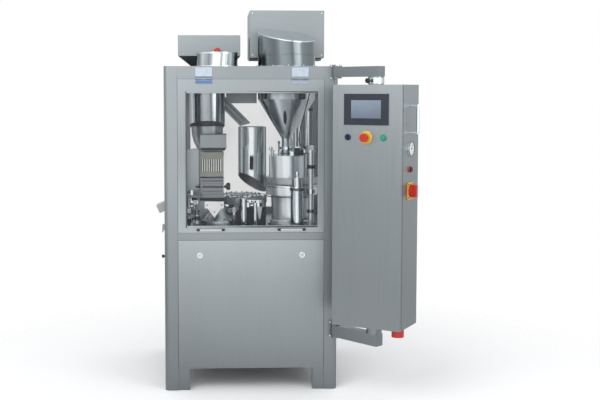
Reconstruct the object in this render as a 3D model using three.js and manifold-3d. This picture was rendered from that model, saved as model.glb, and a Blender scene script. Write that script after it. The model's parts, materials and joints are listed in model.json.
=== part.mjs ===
// Automatic capsule filler: a stainless frame with a dosing chamber above a drive cabinet,
// a capsule feed on the left, a powder doser on the right, hoppers on the deck, and a
// control cabinet carried on two swing arms. Millimetres, +Z up, -Y is the front.

import * as THREE from 'three';
import { mergeVertices } from 'three/addons/utils/BufferGeometryUtils.js';
import Module from 'manifold-3d';

const wasm = await Module();
wasm.setup();

// ---- Driving dimensions ----

const GAP = 0.3;
const WIDTH = 880;
const DEPTH = 860;
const HEIGHT = 1655;
const POST = 68;
const POST_ROUND = 25;
const HALF = WIDTH / 2;
const INNER = HALF - POST;
const REAR_POST = DEPTH - POST;
const PANEL_BOTTOM = 113;
const TABLE_BOTTOM = 775;
const TABLE_TOP = 812;
const DECK_BOTTOM = 1591;
const DECK_PLATE = 6;
const ON_TABLE = TABLE_TOP + GAP;
const ON_DECK = HEIGHT + GAP;
const UNDER_DECK = HEIGHT - DECK_PLATE - GAP;

const DOOR_GAP = 1.5;
const DOOR_THICK = 22;
const DOOR_TOP = DECK_BOTTOM - 1;
const DOOR_BOTTOM = TABLE_TOP + 1;
const HINGE = {
  places: [-238, 247], half: 42.5, middle: 14, proud: 3.6, pinOut: 5.6, knuckle: 5, pin: 2.4, bore: 2.9,
};
const HANDLE = { place: 205, half: 69, foot: 6, low: 825, high: 833, out: 18, bar: 7 };
// Openings in the doors, as [x0, x1, z0, z1].
const FRONT_WINDOW = [-326, 339, 847.6, 1520];
const REAR_WINDOW = [-330, 330, 848, 1520];
const SIDE_WINDOW = { front: 110, rear: 750, top: 1540, leftLow: 1010, rightLow: 850 };
const SHEET = 3;
const LOCK = { place: 260, z: 697, bore: 6, head: 10, shaft: 5 };

const VACUUM_BOX = [-121, 47, 480, 640, 1463, HEIGHT - 1];
const FEED_HOLE = { x: -205, y: 190, radius: 70 };
const FEED = { x: -223, y: 180, radius: 92, wall: 2.5, low: 1350 };
// The capsule bin and its throat in plan, as [x0, x1, y0, y1].
const BIN = { plan: [-380, -46, 350, 760], throat: [-300, -110, 430, 680], shoulder: 1718, top: 1828 };
const BIN_HOPPER = { x: -170, y: 200, radius: 106, wall: 2.5, top: 1727, knob: 18 };
const BOWL_PLATE = {
  plan: [-258, -124, 92, 200], foot: [-252, -134, 104, 200], footZ: 1225, low: 1238, high: 1309,
};
const MAGAZINE = { x0: -262, x1: -139, y0: 130, y1: 185, low: 1088, high: 1216 };
const GROOVE = { count: 9, first: -248, pitch: 11.75, width: 5, low: 1113, high: 1181, deep: 11 };
const SORTING = { x0: -258, x1: -138, y0: 120, y1: 190, low: 978, high: 1082 };
const HOLES = { count: 9, first: -243, pitch: 11.75, radius: 3, deep: 8, rows: [1035, 1066] };
const CHANNEL = { top: [-283, 1620], end: [-21, 1352], cutBack: 14, half: 26, y0: 290, y1: 345 };
const CHUTE = {
  y: 155, z: 940, tilt: -24, back: 48, reach: 60, half: 45, rise: 22, wall: 2, hole: [106, 204, 902, 978],
};
const CONE = { x: -160, y: 140, radius: 96, top: 938 };

const HOPPER = {
  x: 195, y: 255, radius: 151, cone: 1488, neck: 1280, neckRadius: 24.5, top: 1818, wall: 2.5,
};
const HOPPER_SLOPE = new THREE.Vector3(0.12, -0.219, 1);
const FEEDER = { x0: 7, x1: 411, y0: 412, y1: 858, low: 1710, high: 1965 };
const DRUM = { x: 198, y: 255, radius: 94, bottom: 1076, top: 1193 };
const DOSER = { x: 226, y: 270, radius: 139, ringBottom: 1044, seam: 984, teeth: 36, tooth: 5 };
const GUIDE = { x: 241, y: 90 };
const TAMPER = { x: 316, rods: [255, 305], low: 1205, high: 1226 };
const SUCTION = {
  x: 18, y: 372, radius: 76, wall: 2.5, low: 970, top: 1338, cut: 1036, slotLow: 1112, slotHigh: 1183,
};
const SUCTION_TILT = new THREE.Vector3(-0.58, -0.46, -1);
const SUCTION_POST = { x: 208, y: 452, half: 8, arm: 1058 };
const TURRET = { x: -50, y: 420, radius: 150, bottom: 924, top: 962, segments: 12 };
const SENSOR = { x: 315, y: 120, top: 1226, plug: 1239, plugEnd: 288.3 };
const GLAND = { x: 318, y: 120, radius: 9, bottom: 1635 };
const LEAD_RADIUS = 2.6;
const LEAD_ROUTE = [
  [318, 120, 1634.7], [318, 120, 1622], [317.3, 120, 1606], [314.5, 119.5, 1576], [310, 119, 1544],
  [304, 118, 1512], [297, 117, 1481], [289, 116, 1451], [281, 115, 1422], [273, 114, 1393],
  [266, 113.4, 1366], [259.5, 113, 1338], [255, 113, 1313], [252.6, 113.5, 1293], [252, 114.5, 1275],
  [254.7, 116, 1261.2], [262.5, 117.6, 1249.5], [274.2, 119.2, 1241.7], [287.7, 120, 1239],
];

const ARM_ROOT = { x: 430, y: -34 };
const SWIVEL = { x: 596, y: -226 };
const ARM = { width: 50, collar: 38, pin: 8, bore: 8.6, overhang: 34 };
const UPPER_ARM = { low: 1600, high: 1650 };
const LOWER_ARM = { low: 285, high: 345 };
const CABINET = { half: 176, deep: 113, low: 392, high: 1560.5, wall: 2.5, turn: 31 };
const BEZEL = { plan: [-116, 110, 1369, 1517], window: [-80, 74, 1400, 1488], proud: 6, sunk: 4.5 };
const BUTTON_ROW = 1310;
const STOP = { x: -2, stem: 11, head: 20.5 };
const START = { x: 84, radius: 12 };
const KEY = { x: -97, radius: 12 };
const RESET = { z: 1157, radius: 12 };
const GAUGE = { z: 1256, radius: 37.5, thick: 7 };
const ISOLATOR = { z: 1055, radius: 31, plateHalf: 35, plateRise: 41 };
const INLET = { x: CABINET.half - 37, y: -41, radius: 30, bore: 24, drop: 41 };
const GRIP = { out: 36, y: 5, radius: 7, low: 1325, high: 1467 };

// ---- Materials ----

function finish(color, roughness, metalness, opacity = 1) {
  const transparent = opacity < 1;
  return new THREE.MeshStandardMaterial({ color, roughness, metalness, opacity, transparent });
}

const brushed = finish(0x9aa1a5, 0.38, 1);
const polished = finish(0xc4c9cc, 0.12, 1);
const dark = finish(0x3a3d40, 0.5, 0.6);
const painted = finish(0x8d989b, 0.45, 0.3);
const clear = finish(0xdfe8ea, 0.05, 0, 0.3);
const black = finish(0x15171a, 0.5, 0);
const red = finish(0xae2213, 0.4, 0);
const yellow = finish(0xdab04a, 0.45, 0);
const green = finish(0x1e9682, 0.4, 0);
const bezelBlue = finish(0x37404f, 0.4, 0.2);
const greyBlock = finish(0x8f979a, 0.5, 0.7);

// ---- Solids ----

function solid(geometry) {
  geometry.deleteAttribute('normal');
  geometry.deleteAttribute('uv');
  const merged = mergeVertices(geometry, 1e-4);
  return new wasm.Manifold(new wasm.Mesh({
    numProp: 3,
    vertProperties: new Float32Array(merged.attributes.position.array),
    triVerts: new Uint32Array(merged.index.array),
  }));
}

function join(first, ...others) {
  return others.reduce((whole, other) => whole.add(other), first);
}

function cut(first, ...others) {
  return others.reduce((whole, other) => whole.subtract(other), first);
}

function block(x0, x1, y0, y1, z0, z1) {
  const geometry = new THREE.BoxGeometry(x1 - x0, y1 - y0, z1 - z0);
  return solid(geometry.translate((x0 + x1) / 2, (y0 + y1) / 2, (z0 + z1) / 2));
}

// A block whose section at the bottom differs from the one at the top: [x0, x1, y0, y1] each.
function taper(bottom, top, z0, z1) {
  const geometry = new THREE.BoxGeometry(1, 1, 1);
  const place = geometry.attributes.position;
  for (let i = 0; i < place.count; i += 1) {
    const section = place.getZ(i) > 0 ? top : bottom;
    const x = place.getX(i) > 0 ? section[1] : section[0];
    const y = place.getY(i) > 0 ? section[3] : section[2];
    place.setXYZ(i, x, y, place.getZ(i) > 0 ? z1 : z0);
  }
  return solid(geometry);
}

// Round bars along each axis, given the two coordinates of the centre line.
function rodZ(radius, x, y, z0, z1, sides = 32) {
  const geometry = new THREE.CylinderGeometry(radius, radius, z1 - z0, sides);
  return solid(geometry.rotateX(Math.PI / 2).translate(x, y, (z0 + z1) / 2));
}

function rodX(radius, y, z, x0, x1, sides = 20) {
  const geometry = new THREE.CylinderGeometry(radius, radius, x1 - x0, sides);
  return solid(geometry.rotateZ(Math.PI / 2).translate((x0 + x1) / 2, y, z));
}

function rodY(radius, x, z, y0, y1, sides = 24) {
  const geometry = new THREE.CylinderGeometry(radius, radius, y1 - y0, sides);
  return solid(geometry.translate(x, (y0 + y1) / 2, z));
}

// A solid of revolution about the vertical line through x, y; the profile is [radius, z] pairs
// that start and end on the axis or close on themselves.
function turned(profile, x, y, sides = 40) {
  const points = profile.map(([radius, z]) => new THREE.Vector2(radius, z));
  const geometry = new THREE.LatheGeometry(points, sides);
  return solid(geometry.rotateX(Math.PI / 2).translate(x, y, 0));
}

// A pipe: outer and inner wall, open at both ends.
function pipe(radius, wall, x, y, z0, z1, sides = 40) {
  const bore = rodZ(radius - wall, x, y, z0 - 1, z1 + 1, sides);
  return cut(rodZ(radius, x, y, z0, z1, sides), bore);
}

// A thick flat slab that starts at a point and reaches along the normal.
function slab(point, normal, thickness) {
  const reach = 900;
  const unit = normal.clone().normalize();
  const turn = new THREE.Quaternion().setFromUnitVectors(new THREE.Vector3(0, 0, 1), unit);
  const geometry = new THREE.BoxGeometry(reach, reach, thickness);
  geometry.translate(0, 0, thickness / 2).applyQuaternion(turn);
  return solid(geometry.translate(point.x, point.y, point.z));
}

// An outline in X and Y, raised from z0 to z1.
function raised(shape, z0, z1, curveSegments = 6) {
  const geometry = new THREE.ExtrudeGeometry(shape, {
    depth: z1 - z0, bevelEnabled: false, curveSegments,
  });
  return solid(geometry.translate(0, 0, z0));
}

// Two distances in rising order, whichever side of the machine they are on.
function span(a, b) {
  return a < b ? [a, b] : [b, a];
}

// ---- Scene graph ----

const machine = new THREE.Group();
const swivelled = new THREE.Group();
swivelled.position.set(SWIVEL.x, SWIVEL.y, 0);
swivelled.rotation.z = THREE.MathUtils.degToRad(-CABINET.turn);
machine.add(swivelled);

function place(name, body, material, parent = machine) {
  const { vertProperties, triVerts, numProp } = body.getMesh();
  const geometry = new THREE.BufferGeometry();
  const vertices = new Float32Array(vertProperties.length / numProp * 3);
  for (let i = 0; i < vertices.length / 3; i += 1) {
    for (let k = 0; k < 3; k += 1) vertices[i * 3 + k] = vertProperties[i * numProp + k];
  }
  geometry.setAttribute('position', new THREE.BufferAttribute(vertices, 3));
  geometry.setIndex(new THREE.BufferAttribute(new Uint32Array(triVerts), 1));
  geometry.computeVertexNormals();
  const mesh = new THREE.Mesh(geometry, material);
  mesh.name = name;
  parent.add(mesh);
  return mesh;
}

// ---- Frame ----

// A corner post with a rounded outer edge, and the short leg plate beside it at the floor.
function post(sideX, sideY) {
  const outerX = sideX * HALF;
  const innerX = sideX * INNER;
  const outerY = sideY < 0 ? 0 : DEPTH;
  const innerY = sideY < 0 ? POST : REAR_POST;
  const inX = -sideX * POST_ROUND;
  const inY = -sideY * POST_ROUND;
  const shape = new THREE.Shape();
  shape.moveTo(innerX, innerY);
  shape.lineTo(outerX, innerY);
  shape.lineTo(outerX, outerY + inY);
  shape.quadraticCurveTo(outerX, outerY, outerX + inX, outerY);
  shape.lineTo(innerX, outerY);
  const legX = span(innerX + sideX, innerX - sideX * 57);
  const legY = span(outerY - sideY * 4, outerY - sideY * 44);
  const leg = block(...legX, ...legY, 0, PANEL_BOTTOM - GAP);
  return join(raised(shape, 0, HEIGHT), leg);
}

// The plan that fits between the four posts: a cross of two rectangles.
function betweenPosts(halfX, z0, z1) {
  const slim = INNER - GAP;
  const long = block(-slim, slim, 0, DEPTH, z0, z1);
  return join(long, block(-halfX, halfX, POST + GAP, REAR_POST - GAP, z0, z1));
}

// The hollow under the deck and under the table, clear of the four posts.
function pocket(z0, z1) {
  return join(block(-330, 330, 40, DEPTH - 40, z0, z1), block(-420, 420, 80, DEPTH - 80, z0, z1));
}

// The half of a door hinge that stays on the deck: leaf, two outer knuckles and the pin.
function fixedLeaf(x, face, out) {
  const { half, middle, proud, pinOut, knuckle, pin } = HINGE;
  const pinY = face + out * pinOut;
  const y = span(face - out, face + out * proud);
  const upper = block(x - half, x + half, ...y, DECK_BOTTOM + 6, HEIGHT - 6);
  const sides = [-1, 1].map((side) => {
    const ends = span(x + side * (middle + 0.5), x + side * half);
    const tab = block(...ends, ...y, DECK_BOTTOM + 1, DECK_BOTTOM + 8);
    return join(tab, rodX(knuckle, pinY, DECK_BOTTOM, ...ends, 16));
  });
  return join(upper, ...sides, rodX(pin, pinY, DECK_BOTTOM, x - middle - 6, x + middle + 6, 12));
}

// The half that turns with the door: leaf and middle knuckle, bored for the pin.
function movingLeaf(x, face, out) {
  const { half, middle, proud, pinOut, knuckle, bore } = HINGE;
  const pinY = face + out * pinOut;
  const leafY = span(face - out, face + out * proud);
  const neckY = span(face + out, face + out * proud);
  const leaf = block(x - half, x + half, ...leafY, DECK_BOTTOM - 25, DECK_BOTTOM - 8);
  const neck = block(x - middle, x + middle, ...neckY, DECK_BOTTOM - 12, DECK_BOTTOM);
  const barrel = rodX(knuckle, pinY, DECK_BOTTOM, x - middle, x + middle, 16);
  return cut(join(leaf, neck, barrel), rodX(bore, pinY, DECK_BOTTOM, x - middle - 1, x + middle + 1, 12));
}

function topDeck() {
  const hollow = pocket(DECK_BOTTOM - 1, HEIGHT - DECK_PLATE);
  const shell = cut(betweenPosts(HALF, DECK_BOTTOM, HEIGHT), hollow);
  const leaves = HINGE.places.flatMap((x) => [fixedLeaf(x, 0, -1), fixedLeaf(x, DEPTH, 1)]);
  const powderHole = rodZ(HOPPER.radius + 1.5, HOPPER.x, HOPPER.y, DECK_BOTTOM, HEIGHT + 1, 40);
  const capsuleHole = rodZ(FEED_HOLE.radius, FEED_HOLE.x, FEED_HOLE.y, DECK_BOTTOM, HEIGHT + 1);
  const gland = rodZ(GLAND.radius, GLAND.x, GLAND.y, GLAND.bottom, HEIGHT - 1, 20);
  return cut(join(shell, block(...VACUUM_BOX), gland, ...leaves), powderHole, capsuleHole);
}

function frame() {
  place('post_front_left', post(-1, -1), brushed);
  place('post_front_right', post(1, -1), brushed);
  place('post_rear_left', post(-1, 1), brushed);
  place('post_rear_right', post(1, 1), brushed);
  place('top_deck', topDeck(), brushed);
  const table = betweenPosts(HALF - 8, TABLE_BOTTOM + GAP, TABLE_TOP);
  place('table_plate', cut(table, pocket(TABLE_BOTTOM, TABLE_TOP - 12)), brushed);
  const edge = INNER - DOOR_GAP;
  const rear = block(-edge, edge, DEPTH - SHEET, DEPTH, PANEL_BOTTOM, TABLE_BOTTOM - 1);
  place('rear_lower_panel', rear, brushed);
}

// A side panel with its window; the pane fills the window with a running gap all round.
function sidePanel(name, side, windowLow) {
  const { front, rear, top } = SIDE_WINDOW;
  const x = span(side * (HALF - 3), side * (HALF - 7));
  const sheet = block(...x, POST + GAP, REAR_POST - GAP, PANEL_BOTTOM, DECK_BOTTOM - GAP);
  const window = block(x[0] - 1, x[1] + 1, front, rear, windowLow, top);
  const chuteHole = block(-HALF, -HALF + 10, ...CHUTE.hole);
  place(`${name}_side_panel`, cut(sheet, window, chuteHole), brushed);
  const pane = block(...x, front + GAP, rear - GAP, windowLow + GAP, top - GAP);
  place(`${name}_window_pane`, pane, clear);
}

// ---- Doors and panel ----

// A framed door and the pane in its opening; out is -1 for the front face, 1 for the rear.
function doorLeaf(face, out, [x0, x1, z0, z1]) {
  const y = span(face, face - out * DOOR_THICK);
  const edge = INNER - DOOR_GAP;
  const sheet = block(-edge, edge, ...y, DOOR_BOTTOM, DOOR_TOP);
  const hinges = HINGE.places.map((x) => movingLeaf(x, face, out));
  const window = block(x0, x1, y[0] - 1, y[1] + 1, z0, z1);
  const pane = block(x0 + GAP, x1 - GAP, y[0] + 8, y[1] - 8, z0 + GAP, z1 - GAP);
  return { leaf: join(cut(sheet, window), ...hinges), pane };
}

function doorHandle(x) {
  const { half, foot, low, high, out, bar } = HANDLE;
  const grip = block(x - half, x + half, -out, -out + bar, low, high);
  const feet = [-1, 1].map((side) => {
    const centre = x + side * (half - foot);
    return block(centre - foot, centre + foot, -out + bar - 1, -GAP, low, high);
  });
  return join(grip, ...feet);
}

function doors() {
  const front = doorLeaf(0, -1, FRONT_WINDOW);
  place('front_door', front.leaf, brushed);
  place('front_door_pane', front.pane, clear);
  place('door_handle_left', doorHandle(-HANDLE.place), polished);
  place('door_handle_right', doorHandle(HANDLE.place), polished);
  const rear = doorLeaf(DEPTH, 1, REAR_WINDOW);
  place('rear_door', rear.leaf, brushed);
  place('rear_door_pane', rear.pane, clear);
}

// A folded tray that lifts away, held by two quarter-turn locks with a cam behind the sheet.
function lowerPanel() {
  const edge = INNER - DOOR_GAP;
  const top = TABLE_BOTTOM - 1;
  const { place: lockX, z, bore, head, shaft } = LOCK;
  const tray = cut(
    block(-edge, edge, 0, 20, PANEL_BOTTOM, top),
    block(-edge + SHEET, edge - SHEET, SHEET, 21, PANEL_BOTTOM + SHEET, top - SHEET),
    rodY(bore, -lockX, z, -1, 5),
    rodY(bore, lockX, z, -1, 5),
  );
  place('lower_front_panel', tray, brushed);
  for (const [x, name] of [[-lockX, 'left'], [lockX, 'right']]) {
    const slot = block(x - 1.5, x + 1.5, -7, -3, z - 7, z + 7);
    const body = cut(rodY(head, x, z, -6, -GAP), slot);
    const cam = block(x - 5, x + 5, 12, 15, z, z + 25);
    place(`panel_lock_${name}`, join(body, rodY(shaft, x, z, -1, 15, 16), cam), polished);
  }
}

// ---- Capsule feed, left ----

function capsuleBin() {
  const { plan, throat, shoulder, top } = BIN;
  const grow = (section, by) => section.map((value, i) => value + (i % 2 ? by : -by));
  const upper = block(...plan, shoulder, top);
  const funnel = taper(throat, plan, ON_DECK, shoulder + 1);
  const inside = block(...grow(plan, -SHEET), shoulder + 1, top + 1);
  const hollow = taper(grow(throat, -SHEET - 1), grow(plan, -SHEET), ON_DECK - 1, shoulder + 2);
  return cut(join(upper, funnel), inside, hollow);
}

// The bowl under the feed tube, and the flat-fronted guide that stands on the magazine.
function capsuleBowl() {
  const { x, y } = FEED;
  const { plan, foot, footZ, low, high } = BOWL_PLATE;
  const bowl = turned([
    [0, 1230], [50, 1230], [58, 1241], [71, 1268], [79, 1298], [82, 1322], [82, 1349], [0, 1349],
  ], x, y);
  const hollow = turned([
    [0, 1236], [46, 1236], [54, 1246], [67, 1271], [76, 1300], [79, 1323], [79, 1350], [0, 1350],
  ], x, y);
  const skirt = taper(foot, plan, footZ, low + 1);
  const inside = block(-253, -129, 97, 189, low + 2, high + 1);
  const mouth = block(-246, -150, 120, 184, footZ - 1, 1260);
  return cut(join(bowl, block(...plan, low, high), skirt), hollow, inside, mouth);
}

function magazine() {
  const { x0, x1, y0, y1, low, high } = MAGAZINE;
  const grooves = Array.from({ length: GROOVE.count }, (_, i) => {
    const left = GROOVE.first + i * GROOVE.pitch - GROOVE.width / 2;
    return block(left, left + GROOVE.width, y0 - 1, y0 + GROOVE.deep, GROOVE.low, GROOVE.high);
  });
  return cut(block(x0, x1, y0, y1, low, high), ...grooves);
}

function sortingBlock() {
  const { x0, x1, y0, y1, low, high } = SORTING;
  const { count, first, pitch, radius, deep, rows } = HOLES;
  const holes = rows.flatMap((z) => Array.from({ length: count }, (_, i) => (
    rodY(radius, first + i * pitch, z, y0 - 1, y0 + deep, 8)
  )));
  return cut(block(x0, x1, y0, y1, low, high), ...holes);
}

// An open channel that slopes down from the deck, its end cut nearly level above the suction tube.
function transferChannel() {
  const { half, cutBack, y0, y1 } = CHANNEL;
  const top = new THREE.Vector2(...CHANNEL.top);
  const end = new THREE.Vector2(...CHANNEL.end);
  const along = end.clone().sub(top).normalize();
  const across = new THREE.Vector2(-along.y, along.x);
  const corner = (base, shift) => base.clone().addScaledVector(across, shift);
  const tip = (shift) => corner(end, shift).addScaledVector(along, (shift / half) * cutBack);
  const wall = (low, high, near, far) => {
    const corners = [corner(top, low), tip(low), tip(high), corner(top, high)];
    const shape = new THREE.Shape(corners);
    const geometry = new THREE.ExtrudeGeometry(shape, { depth: far - near, bevelEnabled: false });
    return solid(geometry.rotateX(Math.PI / 2).translate(0, far, 0));
  };
  return join(
    wall(-half, -half + SHEET, y0, y1),
    wall(-half, half, y0, y0 + SHEET),
    wall(-half, half, y1 - SHEET, y1),
  );
}

function capsuleHopper() {
  const { x, y, radius, wall, top, knob } = BIN_HOPPER;
  place('capsule_hopper', pipe(radius, wall, x, y, ON_DECK, top), polished);
  const plug = rodZ(radius - wall - 1.5, x, y, top - 12, top + 2, 40);
  const rim = rodZ(radius, x, y, top + GAP, top + 3, 40);
  const dish = rodZ(radius - 14, x, y, top - 8, top + 4, 40);
  place('hopper_lid', cut(join(rim, plug), dish), polished);
  const ball = new THREE.SphereGeometry(knob, 20, 12).rotateX(Math.PI / 2);
  place('lid_knob', solid(ball.translate(x, y, top - 7.5 + knob)), red);
}

// The tube that brings capsules down from the hopper, its lower end cut on a slope to the front.
function feedTube() {
  const { x, y, radius, wall, low } = FEED;
  const lower = slab(new THREE.Vector3(x, y, low), new THREE.Vector3(0, -0.3, -1), 300);
  return cut(pipe(radius, wall, x, y, low - 50, UNDER_DECK), lower);
}

// The column that carries the magazine and sorting block, with the cover plate at its left.
function feedColumn() {
  const top = BOWL_PLATE.footZ - GAP;
  const behind = SORTING.y1 + 1;
  const back = CONE.y + CONE.radius + 4;
  return join(
    block(-300, -160, back, 300, ON_TABLE, top),
    block(SORTING.x0, SORTING.x1, behind, back + 1, 950, top),
    block(-335, -267, behind, back + 1, 1011, top),
  );
}

function capsuleFeed() {
  place('capsule_bin', capsuleBin(), painted);
  capsuleHopper();
  place('feed_tube', feedTube(), polished);
  place('capsule_bowl', capsuleBowl(), polished);
  place('feed_column', feedColumn(), brushed);
  place('magazine', magazine(), greyBlock);
  place('sorting_block', sortingBlock(), greyBlock);
  place('transfer_channel', transferChannel(), polished);
}

// ---- Turret, centre ----

function turret() {
  const { x, y, radius, bottom, top, segments } = TURRET;
  const disc = join(rodZ(radius, x, y, bottom, top, 48), rodZ(60, x, y, ON_TABLE, bottom + 1, 24));
  const slots = Array.from({ length: segments }, (_, i) => {
    const geometry = new THREE.BoxGeometry(30, 5, top - bottom + 4);
    geometry.translate(radius - 6, 0, (top + bottom) / 2).rotateZ((i / segments) * Math.PI * 2);
    return solid(geometry.translate(x, y, 0));
  });
  return cut(disc, ...slots);
}

// A wide tube with an oblique mouth and a sight slot, held from behind by an arm on its own post.
function suctionTube() {
  const { x, y, radius, wall, low, top, cut: mouth, slotLow, slotHigh } = SUCTION;
  const bore = rodZ(radius - wall, x, y, low, top + 1, 40);
  const slot = block(x - 17, x + 5, y - radius - 2, y - radius + 12, slotLow, slotHigh);
  const below = slab(new THREE.Vector3(x, y, mouth), SUCTION_TILT, 300);
  return join(cut(pipe(radius, wall, x, y, low, top), slot, below), cut(suctionPost(), bore));
}

// It stands on the table behind the doser, and its arm reaches to the back of the suction tube.
function suctionPost() {
  const { x, y, half, arm } = SUCTION_POST;
  return join(
    block(x - half, x + half, y - half, y + half, ON_TABLE, arm),
    block(SUCTION.x, x + half, y - half, y + half, arm - half, arm + half),
  );
}

function coneCover() {
  const { x, y, radius, top } = CONE;
  return turned([
    [0, ON_TABLE], [radius, ON_TABLE], [radius, 862], [radius - 6, 868], [30, top], [0, top],
  ], x, y);
}

// The duct that takes rejected capsules out through the left panel.
function dischargeChute() {
  const { y, z, tilt, back, reach, half, rise, wall } = CHUTE;
  const bore = block(-back - 1, reach + 1, -half + wall, half - wall, -rise + wall, rise - wall);
  const duct = cut(block(-back, reach, -half, half, -rise, rise), bore);
  const chute = place('discharge_chute', duct, polished);
  chute.position.set(-HALF + 6, y, z);
  chute.rotation.y = THREE.MathUtils.degToRad(tilt);
}

// ---- Powder doser, right ----

function powderHopper() {
  const { x, y, radius, cone, neck, neckRadius, top, wall } = HOPPER;
  const high = top + 60;
  const foot = DRUM.top + GAP * 2;
  const outer = turned([
    [0, foot], [neckRadius, foot], [neckRadius, neck], [radius, cone], [radius, ON_DECK],
    [radius + 12, ON_DECK], [radius + 12, ON_DECK + 6], [radius, ON_DECK + 6], [radius, high], [0, high],
  ], x, y);
  const inner = turned([
    [0, foot - 5], [neckRadius - wall, foot - 5], [neckRadius - wall, neck + 1],
    [radius - wall, cone + 1], [radius - wall, high + 1], [0, high + 1],
  ], x, y);
  return cut(outer, inner, slab(new THREE.Vector3(x, y, top), HOPPER_SLOPE, 300));
}

function powderLid() {
  const { x, y, radius, top } = HOPPER;
  const start = new THREE.Vector3(x, y, top + GAP);
  const round = rodZ(radius + 2, x, y, top - 100, top + 100, 40);
  return round.intersect(slab(start, HOPPER_SLOPE, 5));
}

// A box open underneath, with a cross bar and a pedestal that stands it on the deck.
function feederHousing() {
  const { x0, x1, y0, y1, low, high } = FEEDER;
  const inside = block(x0 + SHEET, x1 - SHEET, y0 + SHEET, y1 - SHEET, low - 1, high - SHEET);
  const shell = cut(block(x0, x1, y0, y1, low, high), inside);
  return join(shell, block(x0 + 1, x1 - 1, 560, 700, 1700, 1716), block(120, 300, 580, 680, ON_DECK, 1701));
}

// A flat disc with square teeth, which turns between the dosing base and the powder ring.
function dosingDisc() {
  const { x, y, radius, ringBottom, teeth, tooth } = DOSER;
  const outer = radius - 3;
  const points = [];
  for (let i = 0; i < teeth; i += 1) {
    for (const [step, reach] of [[0, outer], [0.25, outer - tooth], [0.5, outer - tooth], [0.75, outer]]) {
      const angle = ((i + step) / teeth) * Math.PI * 2;
      points.push(new THREE.Vector2(x + reach * Math.cos(angle), y + reach * Math.sin(angle)));
    }
  }
  return raised(new THREE.Shape(points), ringBottom - 7, ringBottom - 1);
}

// The level sensor's column, on a foot that reaches back to the dosing base. Its head takes the
// lead from the left.
function sensorColumn() {
  const { x, y, top, plug, plugEnd } = SENSOR;
  return join(
    block(x - 18, x + 18, y - 18, DOSER.y - 60, ON_TABLE, TABLE_TOP + 10),
    rodZ(14, x, y, TABLE_TOP + 5, top - 14, 24),
    rodZ(19, x, y, top - 15, top, 24),
    block(x - 14, x + 14, y - 12, y + 12, top - 1, plug + 12),
    rodX(GLAND.radius - 2, y, plug, plugEnd, x, 20),
  );
}

function dosingBase() {
  const { x, y, radius, seam, ringBottom } = DOSER;
  const top = ringBottom - 8;
  const bowl = turned([
    [0, ON_TABLE], [118, ON_TABLE], [118, 846], [110, 852], [110, seam - 2], [radius, seam],
    [radius, top], [radius - 8, top], [radius - 8, seam + 10], [100, seam + 6], [100, 830], [0, 830],
  ], x, y);
  return join(bowl, sensorColumn());
}

// The level sensor's lead: it hangs from the gland under the deck and turns into the sensor's head.
function sensorLead() {
  const route = new THREE.CatmullRomCurve3(LEAD_ROUTE.map((point) => new THREE.Vector3(...point)));
  const section = new THREE.Shape().absarc(0, 0, LEAD_RADIUS, 0, Math.PI * 2);
  return solid(new THREE.ExtrudeGeometry(section, { steps: 36, extrudePath: route, curveSegments: 4 }));
}

function powderDrum() {
  const { x, y, radius, bottom, top } = DRUM;
  const low = bottom + GAP;
  return turned([
    [0, top - 6], [radius - 5, top - 6], [radius - 5, low], [radius, low], [radius, top - 3],
    [radius - 3, top], [0, top],
  ], x, y);
}

function powderRing() {
  const { x, y, radius, ringBottom } = DOSER;
  return turned([
    [40, ringBottom], [radius, ringBottom], [radius, DRUM.bottom], [40, DRUM.bottom], [40, ringBottom],
  ], x, y);
}

function guidePost() {
  const { x, y } = GUIDE;
  return turned([
    [0, ON_TABLE], [50, ON_TABLE], [50, 824], [33, 828], [33, 1034], [27, 1036], [27, 1084],
    [8, 1088], [8, 1100], [0, 1103],
  ], x, y, 32);
}

function tampingHead() {
  const { x, rods, low, high } = TAMPER;
  const bars = rods.map((y) => rodZ(7, x, y, DRUM.bottom + 1, low + 1, 16));
  return join(block(x - 31, x + 29, rods[0] - 30, rods[1] + 30, low, high), ...bars);
}

function powderSide() {
  place('powder_hopper', powderHopper(), polished);
  place('powder_lid', powderLid(), polished);
  place('feeder_housing', feederHousing(), painted);
  place('powder_drum', powderDrum(), polished);
  place('powder_ring', powderRing(), polished);
  place('dosing_disc', dosingDisc(), greyBlock);
  place('dosing_base', dosingBase(), polished);
  place('guide_post', guidePost(), polished);
  place('sensor_lead', sensorLead(), black);
  place('tamping_head', tampingHead(), polished);
}

// ---- Drive, below the table ----

// The drive is welded to the floor pan: foot, gearbox, motor and the housing of the upright shaft.
function driveBase() {
  const pan = block(-INNER + GAP, INNER - GAP, 30, DEPTH - 30, PANEL_BOTTOM, PANEL_BOTTOM + 12);
  const foot = block(-90, 90, 330, 530, PANEL_BOTTOM + 11, 145);
  const gearbox = block(-80, 60, 350, 510, 140, 330);
  const can = rodX(75, 430, 235, 55, 290, 32);
  const upright = rodZ(35, -10, 430, 325, 760);
  return join(pan, foot, gearbox, can, upright);
}

// ---- Swing arms and control cabinet ----

function armBracket({ low, high }) {
  const { x, y } = ARM_ROOT;
  const leaf = block(x - 34, x + 6, -4.3, -GAP, low - 12, high + 12);
  const lugs = [[low - 7, low - 1], [high + 1, high + 7]].map(([z0, z1]) => (
    join(block(x - 24, x + 6, y, -4, z0, z1), rodZ(24, x, y, z0, z1, 24))
  ));
  return join(leaf, ...lugs, rodZ(ARM.pin, x, y, low - 5, high + 5, 16));
}

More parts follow.
